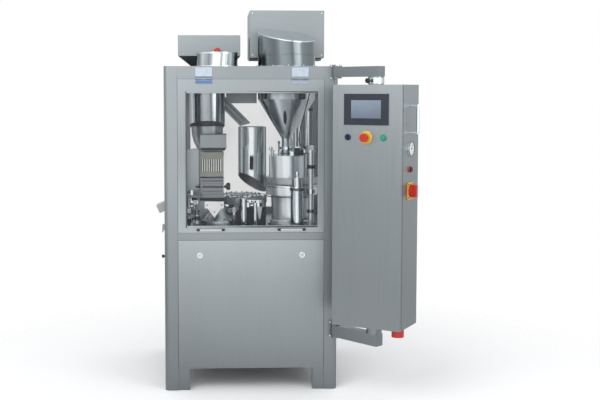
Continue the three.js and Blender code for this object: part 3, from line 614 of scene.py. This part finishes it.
def hinge_films():
    """The plain protective films that still cover the two door hinges."""
    for name, x, lower in (("left", HINGES[0], FILM_BLUE), ("right", HINGES[1], FILM_PALE)):
        left, right = x - FILM_HALF, x + FILM_HALF
        film = box(left, right, -4.3, -3.7, 1604, 1649)
        piece(f"hinge_film_{name}", "frame", FILM_WHITE, film, edge=0.1)
        band = box(left, right, -4.5, -3.8, 1598, 1603)
        piece(f"hinge_film_band_{name}", "frame", lower, band, edge=0.1)
        moving = box(left, right, -4.4, -3.7, 1567, 1582.5)
        piece(f"hinge_film_lower_{name}", "front_door", lower, moving, edge=0.1)


def window_trim(name, body, x0, x1, z0, z1, face, out):
    """A slim retaining frame round a window."""
    wide = 9
    y0, y1 = sorted((face, face + out * 1.2))
    sides = [
        box(x0 - wide, x0 + 1, y0, y1, z0 - wide, z1 + wide),
        box(x1 - 1, x1 + wide, y0, y1, z0 - wide, z1 + wide),
        box(x0 + 1, x1 - 1, y0, y1, z0 - wide, z0 + 1),
        box(x0 + 1, x1 - 1, y0, y1, z1 - 1, z1 + wide),
    ]
    piece(name, body, DOOR_STEEL, *sides, edge=0.3)


def door_details():
    """Films, window trims, handle ends and the collars round the lower panel's locks."""
    hinge_films()
    window_trim("front_window_trim", "front_door", *WINDOW, 0, -1)
    window_trim("rear_window_trim", "rear_door", *REAR_WINDOW, DEPTH, 1)
    for x, name in ((-205, "left"), (205, "right")):
        ends = [box(end - 8, end + 8, -19.5, -9.5, 823.5, 834.5) for end in (x - 63, x + 63)]
        piece(f"handle_ends_{name}", "front_door", BLACK, *ends, edge=1.5)
    for x, name in ((-260, "left"), (260, "right")):
        collar = ring(10.2, 14, 0.1, 2.6)
        piece(f"lock_collar_{name}", "lower_front_panel", BRIGHT, (collar, spot(x, 0, 697, "front")))


def side_fittings():
    """The bracket under the chute, the left panel's knob, and the screws of three panels."""
    bracket = [box(-452, -440.2, 30, 90, 824, 848), box(-452, -448, 30, 90, 812, 826)]
    piece("chute_bracket", "frame", STEEL, *bracket, edge=0.8)
    knob = turned([(0, 14), (7, 14), (9, 11), (9, 5), (5, 3), (5, 0), (0, 0)], 24)
    piece("side_panel_knob", "frame", BLACK, (knob, spot(-440.2, 30, 690, "left")))
    places = [spot(-437, y, z, "left") for y, z in SIDE_SCREWS]
    screws("left_panel_screws", "frame", BRIGHT, places, 5)
    places = [spot(437, y, z, "right") for y, z in SIDE_SCREWS]
    screws("right_panel_screws", "frame", BRIGHT, places, 5)
    places = [spot(x, DEPTH, z, "rear") for x in (-355, 0, 355) for z in (130, 440, 760)]
    screws("rear_panel_screws", "frame", BRIGHT, places, 5)


# ---- Hoppers on the deck ----


def deck_hoppers():
    """Beads, seams and screws on the hoppers and the feeder housing that stand on the deck."""
    x, y = middle("capsule_hopper")
    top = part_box("capsule_hopper")[1].z / MM
    beads = [
        (ring(106, 109, DECK + 1, DECK + 7), spot(x, y, 0)),
        (ring(106, 108.4, top - 6, top), spot(x, y, 0)),
    ]
    piece("capsule_hopper_beads", "frame", BRIGHT, *beads)
    x, y = middle("powder_hopper")
    turn = [i * math.pi / 6 for i in range(12)]
    places = [spot(x + 157 * math.cos(a), y + 157 * math.sin(a), DECK + 6.4) for a in turn]
    screws("hopper_flange_screws", "frame", BRIGHT, places, 3.5)
    cone_sight(x, y)
    seam = [ring(151, 153, DECK + 60 + step, DECK + 62 + step) for step in (0, 6)]
    piece("hopper_seam", "frame", SATIN, *[(part, spot(x, y, 0)) for part in seam])
    low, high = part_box("feeder_housing")
    x0, x1 = (low.x - CENTRE_X) / MM, (high.x - CENTRE_X) / MM
    y0 = (low.y - FRONT_Y) / MM
    z0, z1 = low.z / MM, high.z / MM
    places = [spot(x, y0 - 0.2, z, "front") for x in (x0 + 14, x1 - 14) for z in (z0 + 70, z1 - 14)]
    screws("feeder_screws", "frame", BRIGHT, places, 3.5)


def cone_sight(x, y):
    """The dark sight strip that runs down the front of the powder hopper's cone."""
    neck_radius, neck, cone_radius, top = HOPPER_CONE
    slope = math.atan2(cone_radius - neck_radius, top - neck)
    glass = cylinder(8.5, 0, 1.2, 24)
    glass.transform(Matrix.Diagonal((1, 5, 1, 1)))
    middle_z = 1392
    radius = neck_radius + (middle_z - neck) * math.tan(slope)
    turn = Matrix.Rotation(math.radians(-8), 4, "Z")
    out = Matrix.Translation((0, -radius - 0.4, 0))
    place = spot(x, y, middle_z) @ turn @ out @ FACING["front"] @ Matrix.Rotation(slope, 4, "X")
    piece("cone_sight_strip", "frame", SHADOW, (glass, place), edge=0.3)


# ---- Control cabinet ----


def on_front(x, z, proud=0.0):
    return spot(x, -CAB_DEEP - 0.1 - proud, z, "front", CABINET)


def on_side(y, z, proud=0.0):
    return spot(CAB_HALF + 0.1 + proud, y, z, "right", CABINET)


def display():
    """The screen's face, let into its bezel."""
    shape = box(-79, 73, -CAB_DEEP - 5.2, -CAB_DEEP - 4.9, 1401, 1487)
    piece("screen_display", "control_cabinet", SCREEN, (shape, CABINET), edge=0.1)


def bezels():
    """The rings round the front buttons and the side button."""
    collar = turned([(13, 0), (31.5, 0), (31.5, 6), (28, 9), (13, 9)], 48)
    piece("estop_collar", "control_cabinet", YELLOW, (collar, on_front(-2, 1310)))
    for name, look, inner, outer, place in (
        ("start", GREEN, 12.4, 16, on_front(84, 1310)),
        ("key", BLUE, 12.4, 16, on_front(-97, 1310)),
        ("reset", RED, 12.4, 16, on_side(0, 1157)),
    ):
        shape = turned([(inner, 0), (outer, 0), (outer, 3), (outer - 1.5, 5), (inner, 5)], 40)
        piece(f"{name}_bezel", "control_cabinet", look, (shape, place))


def gauge():
    """The pressure gauge: a pale dial with nine marks and a needle, in a thin dark rim."""
    face = cylinder(33, 0, 0.6, 48)
    piece("gauge_dial", "control_cabinet", DIAL, (face, on_side(0, 1256, 7.3)), edge=0.1)
    rim = turned([(33, 0), (37, 0), (37, 1.4), (35, 2.6), (33, 1.6)], 48)
    piece("gauge_rim", "control_cabinet", IRON, (rim, on_side(0, 1256, 7.3)))
    marks = []
    for i in range(9):
        turn = Matrix.Rotation(math.radians(-135 + i * 33.75), 4, "Z")
        marks.append((box(-0.9, 0.9, 22, 30, 0.6, 0.9), on_side(0, 1256, 7.4) @ turn))
    piece("gauge_marks", "control_cabinet", BLACK, *marks, edge=0.05)
    needle = on_side(0, 1256, 7.4) @ Matrix.Rotation(math.radians(60), 4, "Z")
    parts = [(box(-1, 1, -6, 25, 1.2, 1.8), needle), (cylinder(4, 0.6, 2), needle)]
    piece("gauge_needle", "control_cabinet", BLACK, *parts, edge=0.05)


def cabinet_covers():
    """The folded front door's edges and hinges, the rear cover, its louvres, and the isolator's screws."""
    for name, x0, x1 in (
        ("cabinet_door_edge", CAB_HALF - 1, CAB_HALF + 0.5),
        ("cabinet_door_edge_left", -CAB_HALF - 0.5, -CAB_HALF + 1),
    ):
        seam = box(x0, x1, -CAB_DEEP + 17, -CAB_DEEP + 19, CAB_LOW + 4, CAB_TOP - 4)
        piece(name, "control_cabinet", SHADOW, (seam, CABINET), edge=0.1)
    for i, z in enumerate((520, 976, 1430)):
        place = CABINET @ Matrix.Translation((-CAB_HALF - 3, -CAB_DEEP + 18, z))
        piece(f"cabinet_hinge_{i}", "control_cabinet", BRIGHT, (cylinder(5, -28, 28), place))
    cover = box(-CAB_HALF + 22, CAB_HALF - 22, CAB_DEEP, CAB_DEEP + 1.6, CAB_LOW + 24, CAB_TOP - 24)
    piece("cabinet_rear_cover", "control_cabinet", CABINET_STEEL, (cover, CABINET), edge=0.5)
    rows = [CAB_LOW + 34, (CAB_LOW + CAB_TOP) / 2, CAB_TOP - 34]
    columns = [32 - CAB_HALF, CAB_HALF - 32]
    places = [spot(x, CAB_DEEP + 1.7, z, "rear", CABINET) for x in columns for z in rows]
    screws("cabinet_cover_screws", "control_cabinet", BRIGHT, places, 3.5)
    louvres = [(box(-60, 60, CAB_DEEP + 1.6, CAB_DEEP + 4, z, z + 4), CABINET) for z in range(560, 700, 14)]
    piece("cabinet_louvres", "control_cabinet", CABINET_STEEL, *louvres, edge=0.8)
    corners = [on_side(side * 29, z, 5.2) for side in (-1, 1) for z in (1022, 1088)]
    screws("isolator_screws", "control_cabinet", BLACK, corners, 2.6)


def cabinet_details():
    """What stands on the cabinet's front, side and rear."""
    display()
    bezels()
    gauge()
    cabinet_covers()


def arm_details():
    """Pin heads on the brackets, screws, the pale collar ring and its clamp knob."""
    root = Vector(JOINTS["arm_swing"]["pos_m"])
    reach = SWIVEL - Vector((root.x, root.y, 0))
    turn = Matrix.Rotation(math.atan2(reach.y, reach.x), 4, "Z")
    arm = Matrix.Translation((root.x, root.y, 0)) @ turn @ Matrix.Scale(MM, 4)
    length = reach.length / MM
    pin = turned([(0, 0), (14, 0), (14, 5), (11, 8), (0, 8)], 32)
    for name, low, high in (("upper", 1600, 1650), ("lower", 285, 345)):
        place = Matrix.Translation((root.x, root.y, (high + 7) * MM)) @ Matrix.Scale(MM, 4)
        piece(f"{name}_pin_head", "frame", BRIGHT, (pin.copy(), place))
        places = [spot(404, -4.5, z, "front") for z in (low - 5, high + 5)]
        screws(f"{name}_bracket_screws", "frame", BRIGHT, places, 4)
    collar = (ring(38, 39.5, 1566, 1594), arm @ Matrix.Translation((length, 0, 0)))
    piece("collar_ring", "swing_arms", BRIGHT, collar)
    stem = cylinder(5, 0, 22)
    knob = turned([(0, 0), (11, 0), (12, 3), (12, 12), (8, 15), (0, 15)], 24)
    clamp = [
        (stem, arm @ Matrix.Translation((length, -38, 1580)) @ FACING["front"]),
        (knob, arm @ Matrix.Translation((length, -56, 1580)) @ FACING["front"]),
    ]
    piece("collar_clamp_knob", "swing_arms", BLACK, *clamp)


# ---- Inside: capsule feed ----

RAIL_POSTS = ((-318, 96, 1000), (-292, 150, 985), (-276, 60, 925), (-86, 60, 935))  # x, y and top


def feed_details():
    """The capsules' way down: magazine, sorting block, feed tube and the rails beside them."""
    magazine_details()
    sorting_details()
    feed_tube_details()
    rail_fittings()


def magazine_details():
    """The nine slots down which the capsules fall, each with a dark runner on its left."""
    runners = [box(x - 6.4, x - 3.2, 128.9, 130.2, 1113, 1181) for x in SLOTS]
    piece("magazine_runners", "magazine", SHADOW, *runners, edge=0.3)
    backs = [box(x - 2.3, x + 2.3, 131.5, 133, 1114, 1180) for x in SLOTS]
    piece("magazine_grooves", "magazine", DIAL, *backs, edge=0.1)
    cap = box(-263.5, -137.5, 128.8, 131, 1188, 1216)
    piece("magazine_cap", "magazine", ALLOY, cap, edge=0.5)
    places = [spot(x, 128.7, 1202, "front") for x in (-255, -146)]
    screws("magazine_screws", "magazine", DULL, places, 3)


def sorting_details():
    """Dark discs of painted shade at the sorting block's holes, ledges on the block, and the clamp bar that
    runs through it.
    """
    rows = ((1066, 4), (1035, 5.6), (1012, 3))
    # Painted shade: dark discs at the holes stand in for the shade inside them.
    holes = [
        (cylinder(radius, 0, 0.8, 16), spot(x, SORTING_FACE, z, "front")) for z, radius in rows for x in HOLES
    ]
    piece("sorting_hole_shade", "frame", SHADOW, *holes, edge=0.05)
    ledges = [box(-259.5, -136.5, 118.4, 120.2, z, z + 2) for z in (996, 1050, 1076)]
    piece("sorting_ledges", "frame", DULL, *ledges, edge=0.3)
    base = box(-262, -134, 112, 188, 964, 978)
    piece("sorting_base", "frame", SHADOW, base, edge=1)
    ends = ((-284, 25), (-137.5, 8))
    bars = [(cylinder(5, 0, reach), spot(x, 130, 1035, "right")) for x, reach in ends]
    piece("clamp_bar", "frame", SHADOW, *bars)
    knob = turned([(0, 0), (9, 0), (9, 6), (17, 8), (19, 12), (19, 24), (15, 28), (0, 28)], 20)
    piece("clamp_knob", "frame", BLACK, (knob, spot(-132, 130, 1037, "right")))
    sorting_bracket()


def sorting_bracket():
    """The pale V-shaped plate below the block, its screws and the arm that holds it."""
    shape = [(-236, 968), (-138, 968), (-138, 932), (-152, 932), (-186, 884), (-222, 932), (-236, 932)]
    piece("sorting_bracket", "frame", PALE, outline(shape, 40, 44), edge=0.8)
    places = [spot(x, 39.8, z, "front") for x, z in ((-224, 950), (-150, 950), (-186, 915))]
    screws("sorting_bracket_screws", "frame", DULL, places, 3.5)
    arm = box(-202, -170, 44, 112, 944, 962)
    piece("sorting_bracket_arm", "frame", BRIGHT, arm, edge=1)


def feed_tube_details():
    """A dark ring of painted shade in the tube's arched mouth, the bowl plate's lips, and dark strips of
    painted shade on the plate's chamfer and in the channel's grooves.
    """
    x, y = middle("feed_tube")
    # Painted shade: a dark ring stands in for the shade inside the tube's mouth.
    piece("feed_tube_mouth_shade", "frame", SHADOW, (ring(84, 88.5, 1352, 1420), spot(x, y, 0)))
    lips = [box(-259, -123, 90.6, 92.2, 1305, 1309), box(-259, -123, 90.6, 92.2, 1238, 1241)]
    piece("bowl_plate_lips", "frame", DULL, *lips, edge=0.4)
    # Painted shade: a flat dark strip stands in for the shaded chamfer at the bowl plate's lower edge.
    chamfer = outline([(-251, 1226), (-132, 1226), (-125, 1238), (-257, 1238)], 90.5, 92)
    piece("bowl_plate_chamfer_shade", "frame", SHADOW, chamfer, edge=0.3)
    channel_groove_shade()


def channel_groove_shade():
    """Two dark strips of painted shade that stand in for the grooves down the face of the transfer channel.
    """
    low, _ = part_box("transfer_channel")
    face = (low.y - FRONT_Y) / MM
    top, end = Vector((-268, 1604)), Vector((-34, 1365))
    along = (end - top).normalized()
    across = Vector((-along.y, along.x))
    grooves = []
    for shift in (-10, 12):
        left, right = across * (shift - 2), across * (shift + 2)
        corners = [tuple(corner) for corner in (top + left, end + left, end + right, top + right)]
        grooves.append(outline(corners, face - 0.8, face + 0.2))
    # Painted shade: the strips lie flat on the face, where the grooves' shade falls.
    piece("channel_groove_shade", "frame", SHADOW, *grooves, edge=0.1)


def rail_fittings():
    """The posts, clamps and cross rails that carry the feed's lower end at the left."""
    clamp = [(0, 0), (13, 0), (13, 20), (10, 22), (0, 22)]
    for i, (x, y, high) in enumerate(RAIL_POSTS):
        rod = turned([(0, 0), (16, 0), (16, 6), (7, 8), (7, high - TABLE), (0, high - TABLE)], 20)
        piece(f"rail_post_{i}", "frame", BRIGHT, (rod, spot(x, y, TABLE + 0.3)))
        for k, z in enumerate((TABLE + 38, (TABLE + high) / 2, high - 24)):
            look = (SHADOW, DULL, BLUED)[(i + k) % 3]
            piece(f"rail_clamp_{i}_{k}", "frame", look, (turned(clamp, 20), spot(x, y, z)))
    rails = [
        box(-338, -246, 70, 84, 984, 996),
        box(-332, -270, 118, 130, 940, 952),
        box(-330, -250, 60, 72, 888, 898),
    ]
    piece("cross_rails", "frame", DULL, *rails, edge=1.2)
    blocks = [
        box(-334, -306, 58, 74, 905, 930),
        box(-296, -268, 60, 84, 950, 972),
        box(-298, -274, 74, 96, 842, 870),
    ]
    piece("rail_blocks", "frame", BLUED, *blocks, edge=1.5)
    places = [spot(x, 57.8, z, "front") for x, z in ((-320, 918), (-272, 961), (-273, 856))]
    screws("rail_block_screws", "frame", BRIGHT, places, 4)


# ---- Inside: centre and doser ----


def centre_details():
    """The two bright posts in front, the dark guards behind them, and the pieces round the turret."""
    foot = turned([(0, 0), (26, 0), (26, 8), (17.5, 12), (17.5, 160), (15, 163), (0, 163)], 48)
    piece("front_post", "frame", BRIGHT, (foot, spot(-35, 110, TABLE + 0.3)))
    slim = turned([(0, 0), (18, 0), (18, 6), (10.5, 9), (10.5, 138), (8, 141), (0, 141)], 40)
    piece("slim_post", "frame", BRIGHT, (slim, spot(25, 110, TABLE + 0.3)))
    guard = box(42, 84, 190, 230, TABLE + 0.3, 955)
    piece("indexer_guard", "frame", SHADOW, guard, edge=3)
    back = box(-118, 42, 196, 204, TABLE + 0.3, 925)
    piece("indexer_skirt", "frame", SHADOW, back, edge=1)
    turret_fittings()
    cone_details()
    suction_details()


def turret_fittings():
    """Twelve segment plates that turn with the turret, and the still fittings in front of it."""
    x, y = middle("turret")
    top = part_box("turret")[1].z / MM
    plates = []
    bolts = []
    for i in range(12):
        turn = spot(x, y, top + 0.2) @ Matrix.Rotation(math.radians(i * 30 + 15), 4, "Z")
        plates.append((box(98, 142, -24, 24, 0, 5), turn))
        bolts.extend(turn @ Matrix.Translation((112, side * 14, 5)) for side in (-1, 1))
    piece("turret_segments", "turret", BRIGHT, *plates, edge=1)
    screws("turret_bolts", "turret", SHADOW, bolts, 4)
    hub = turned([(0, 0), (50, 0), (50, 5), (30, 8), (30, 12), (0, 12)], 40)
    piece("turret_hub", "turret", BLUED, (hub, spot(x, y, top + 0.2)))
    bridge = [
        box(-20, 60, 150, 176, 948, 962),
        box(-20, -4, 150, 176, 925, 948),
        box(30, 48, 120, 176, 930, 950),
    ]
    piece("turret_bridge", "frame", BRIGHT, *bridge, edge=1.5)
    wedge = outline([(32, 932), (62, 932), (52, 870), (44, 862)], 118, 130)
    piece("ejector_wedge", "frame", BLUED, wedge, edge=1)
    blocks = [
        box(-120, -92, 90, 120, 905, 925),
        box(-84, -60, 96, 122, 915, 940),
        box(58, 74, 120, 150, 930, 965),
    ]
    piece("bridge_blocks", "frame", DULL, *blocks, edge=1.5)
    places = [spot(px, 149.8, 955, "front") for px in (-12, 8, 28, 50)]
    screws("bridge_screws", "frame", SHADOW, places, 4)


def cone_details():
    """The bright ring at the foot of the cone, the bolts round it and its cap."""
    low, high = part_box("cone_cover")
    x, y = middle("cone_cover")
    radius = (high.x - low.x) / 2 / MM
    foot = ring(radius, radius + 2.5, TABLE + 4, TABLE + 24)
    piece("cone_foot_ring", "frame", BRIGHT, (foot, spot(x, y, 0)))
    reach = radius - 12
    turn = [math.radians(-170 + i * 32) for i in range(6)]
    bolts = [spot(x + reach * math.cos(a), y + reach * math.sin(a), 872) for a in turn]
    screws("cone_bolts", "frame", SHADOW, bolts, 5)
    cap = turned([(0, 0), (26, 0), (26, 8), (20, 14), (20, 22), (0, 22)], 32)
    piece("cone_cap", "frame", DULL, (cap, spot(x, y, high.z / MM + 0.3)))


def suction_details():
    """The frame round the tube's sight slot, the dark filter in it, and a dull liner in its mouth."""
    x, y, radius = SUCTION_TUBE
    near = y - radius
    sides = [
        box(x - 20, x - 16, near - 1, near + 10, 1107, 1188),
        box(x + 4, x + 8, near - 1, near + 10, 1107, 1188),
        box(x - 16, x + 4, near - 1, near + 8, 1107, 1113),
        box(x - 16, x + 4, near - 1, near + 8, 1182, 1188),
    ]
    piece("sight_slot_frame", "frame", BRIGHT, *sides, edge=1)
    piece("sight_slot_filter", "frame", SHADOW, (cylinder(55, 1105, 1195, 32), spot(x, y, 0)))
    liner = ring(radius - 4, radius - 2.8, 978, 1100)
    whole = [*liner.verts, *liner.edges, *liner.faces]
    place, faces = SUCTION_CUT
    bmesh.ops.bisect_plane(liner, geom=whole, plane_co=place, plane_no=faces, clear_outer=True)
    piece("suction_mouth_liner", "frame", LINER, (liner, spot(x, y, 0)))


def doser_details():
    """Rims on the dosing base and ring, then the fittings on and round the doser."""
    x, y = middle("powder_ring")
    piece("doser_plate", "frame", BRIGHT, (ring(110, 141, 1026, 1031), spot(x, y, 0)))
    lip = ring(139, 141.5, 974, 979)
    piece("doser_seam", "frame", DULL, (lip, spot(x, y, 0)))
    foot = ring(118, 128, TABLE + 0.5, TABLE + 22)
    piece("doser_foot", "frame", BLUED, (foot, spot(x, y, 0)))
    drum_fittings()
    guide_post_ball()
    rear_pipes()
    sensor_fittings()


def drum_fittings():
    """Nuts, a ball-ended lever, a level rod and sensor blocks on the drum's lid, and the neck's clamps."""
    x, y = middle("powder_drum")
    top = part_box("powder_drum")[1].z / MM
    nut = [(0, 0), (9, 0), (9, 5), (5, 7), (5, 16), (8, 18), (8, 25), (0, 27)]
    for i in range(7):
        angle = math.radians(200 + i * 40)
        place = spot(x + 80 * math.cos(angle), y + 80 * math.sin(angle), top + 0.2)
        piece(f"drum_nut_{i}", "frame", BRIGHT, (turned(nut, 20), place))
    place = spot(x - 86, y - 24, top + 0.2)
    piece("drum_lever_ball", "frame", BRIGHT, (ball(10, 34), place))
    piece("drum_lever", "frame", BRIGHT, (cylinder(4, 0, 27, 16), place))
    rod = turned([(0, 0), (4, 0), (4, 62), (6, 64), (6, 74), (0, 76)], 16)
    piece("drum_level_rod", "frame", DULL, (rod, spot(x - 46, y - 66, top + 0.2)))
    neck = turned([(25, 0), (34, 0), (34, 14), (25, 14)], 40)
    piece("neck_clamp", "frame", BRIGHT, (neck, spot(*NECK, 1222)))
    piece("neck_lower_clamp", "frame", DULL, (ring(25, 31, 0, 8), spot(*NECK, 1197)))
    fittings = [
        box(x + 34, x + 62, y - 92, y - 66, top + 0.3, top + 40),
        box(x + 66, x + 84, y - 66, y - 44, top + 0.3, top + 30),
    ]
    piece("drum_sensor_blocks", "frame", SHADOW, *fittings, edge=2)
    caps = [
        box(x + 36, x + 60, y - 94, y - 64, top + 40.3, top + 48),
        box(x + 12, x + 30, y - 90, y - 70, top + 0.3, top + 22),
    ]
    piece("drum_block_caps", "frame", BRIGHT, *caps, edge=1.5)


def guide_post_ball():
    """The ball on the guide post's cap and the collar round its middle."""
    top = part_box("guide_post")[1].z / MM
    x, y = middle("guide_post")
    piece("guide_post_ball", "frame", BRIGHT, (ball(11, 11), spot(x, y, top - 6)))
    piece("guide_post_collar", "frame", DULL, (ring(33, 38, 1018, 1032), spot(x, y, 0)))


def rear_pipes():
    """The vacuum pipes and the conduit that run up behind the doser to the deck, with their bands."""
    for i, (x, y, radius, look) in enumerate((
        (250, 560, 17, CHROME), (292, 590, 20, REFLECTION_BANDED), (332, 560, 14, BRIGHT), (352, 610, 15, DULL),
        (214, 600, 12, BRIGHT),
    )):
        pipe = cylinder(radius, TABLE + 0.3, DECK - 6.5, 32)
        piece(f"rear_pipe_{i}", "frame", look, (pipe, spot(x, y, 0)))
        for k, z in enumerate((1180, 1420)):
            band = ring(radius, radius + 3, z, z + 12)
            piece(f"rear_pipe_band_{i}_{k}", "frame", SHADOW, (band, spot(x, y, 0)))


def sensor_fittings():
    """Clamps on the sensor's column and the gland nuts at both ends of its lead."""
    for i, (z, high, look) in enumerate(((900, 16, DULL), (1000, 22, BRIGHT), (1130, 18, SHADOW))):
        clamp = ring(14, 22, z, z + high)
        piece(f"sensor_clamp_{i}", "frame", look, (clamp, spot(*SENSOR, 0)))
    nut = turned([(3.2, 0), (8.5, 0), (8.5, 7), (7, 9), (3.2, 9)], 6)
    piece("sensor_gland_nut", "frame", BLACK, (nut, spot(288.5, 120, 1239, "left")))
    nut = turned([(3.2, 0), (11, 0), (11, 8), (8, 11), (3.2, 11)], 6)
    piece("deck_gland_nut", "frame", BLACK, (nut, spot(318, 120, 1635.5, "down")))


# ---- Studio ----

FLOOR_RADIUS = 6
FLOOR_SOLID = 1.0               # metres from the middle: solid up to here, clear from FLOOR_GONE on
FLOOR_GONE = 2.2
ROOM_STRENGTH = 0.9
ROOM_TONES = [(0.0, 0.5), (0.46, 0.75), (0.56, 1.0), (1.0, 1.0)]     # from straight down to straight up
LIGHT_AIM = Vector((0, 0.2, 1.1))


def studio():
    """A white floor that fades out, a white background, and soft lights round the camera."""
    floor_disc()
    world_light()
    add_light("key", (-1.8, -3.2, 3.4), 2.2, 60)
    add_light("fill", (2.6, -3.0, 2.2), 2.0, 30)
    add_light("front", (-0.8, -5.6, 1.2), 4.6, 38)
    bpy.context.scene.view_settings.view_transform = "Standard"


def floor_disc():
    """A pale floor that shows the machine's shadow and clears away from it."""
    bm = bmesh.new()
    bmesh.ops.create_circle(bm, cap_ends=True, radius=FLOOR_RADIUS, segments=96)
    mesh = bpy.data.meshes.new("floor")
    bm.to_mesh(mesh)
    bm.free()
    floor = bpy.data.objects.new("floor", mesh)
    bpy.context.scene.collection.objects.link(floor)
    floor.location.z = -0.0005
    paint = bpy.data.materials.new("floor_paint")
    paint.use_nodes = True
    tree = paint.node_tree
    shader = tree.nodes["Principled BSDF"]
    shader.inputs["Base Color"].default_value = (0.96, 0.965, 0.97, 1)
    shader.inputs["Roughness"].default_value = 0.9
    shader.inputs["Specular IOR Level"].default_value = 0.0
    place = tree.nodes.new("ShaderNodeTexCoord")
    reach = tree.nodes.new("ShaderNodeVectorMath")
    reach.operation = "LENGTH"
    fade = tree.nodes.new("ShaderNodeMapRange")
    fade.inputs["From Min"].default_value = FLOOR_SOLID
    fade.inputs["From Max"].default_value = FLOOR_GONE
    fade.inputs["To Min"].default_value = 1.0
    fade.inputs["To Max"].default_value = 0.0
    tree.links.new(place.outputs["Object"], reach.inputs[0])
    tree.links.new(reach.outputs["Value"], fade.inputs["Value"])
    tree.links.new(fade.outputs["Result"], shader.inputs["Alpha"])
    mesh.materials.append(paint)


def world_light():
    """The camera sees plain white; the steel also sees a room with a darker band low down."""
    world = bpy.data.worlds.new("studio")
    world.use_nodes = True
    tree = world.node_tree
    back = tree.nodes["Background"]
    seen = tree.nodes.new("ShaderNodeBackground")
    seen.inputs["Color"].default_value = (1, 1, 1, 1)
    seen.inputs["Strength"].default_value = 1.0
    place = tree.nodes.new("ShaderNodeTexCoord")
    split = tree.nodes.new("ShaderNodeSeparateXYZ")
    ramp = tree.nodes.new("ShaderNodeValToRGB")
    lift = tree.nodes.new("ShaderNodeMapRange")
    lift.inputs["From Min"].default_value = -1.0
    ramp.color_ramp.elements.new(0.46)
    ramp.color_ramp.elements.new(0.56)
    for element, (position, value) in zip(ramp.color_ramp.elements, ROOM_TONES):
        element.position = position
        element.color = (value, value * 1.01, value * 1.02, 1)
    camera_ray = tree.nodes.new("ShaderNodeLightPath").outputs["Is Camera Ray"]
    blend = tree.nodes.new("ShaderNodeMixShader")
    tree.links.new(place.outputs["Generated"], split.inputs[0])
    tree.links.new(split.outputs["Z"], lift.inputs["Value"])
    tree.links.new(lift.outputs["Result"], ramp.inputs["Fac"])
    tree.links.new(ramp.outputs["Color"], back.inputs["Color"])
    back.inputs["Strength"].default_value = ROOM_STRENGTH
    tree.links.new(camera_ray, blend.inputs["Fac"])
    tree.links.new(back.outputs[0], blend.inputs[1])
    tree.links.new(seen.outputs[0], blend.inputs[2])
    tree.links.new(blend.outputs[0], tree.nodes["World Output"].inputs["Surface"])
    bpy.context.scene.world = world


def add_light(name, place, size, power):
    data = bpy.data.lights.new(name, "AREA")
    data.size = size
    data.energy = power
    light = bpy.data.objects.new(name, data)
    light.location = place
    aim = LIGHT_AIM - light.location
    light.rotation_euler = aim.to_track_quat("-Z", "Y").to_euler()
    bpy.context.scene.collection.objects.link(light)


door_details()
side_fittings()
deck_hoppers()
cabinet_details()
arm_details()
feed_details()
centre_details()
doser_details()
studio()
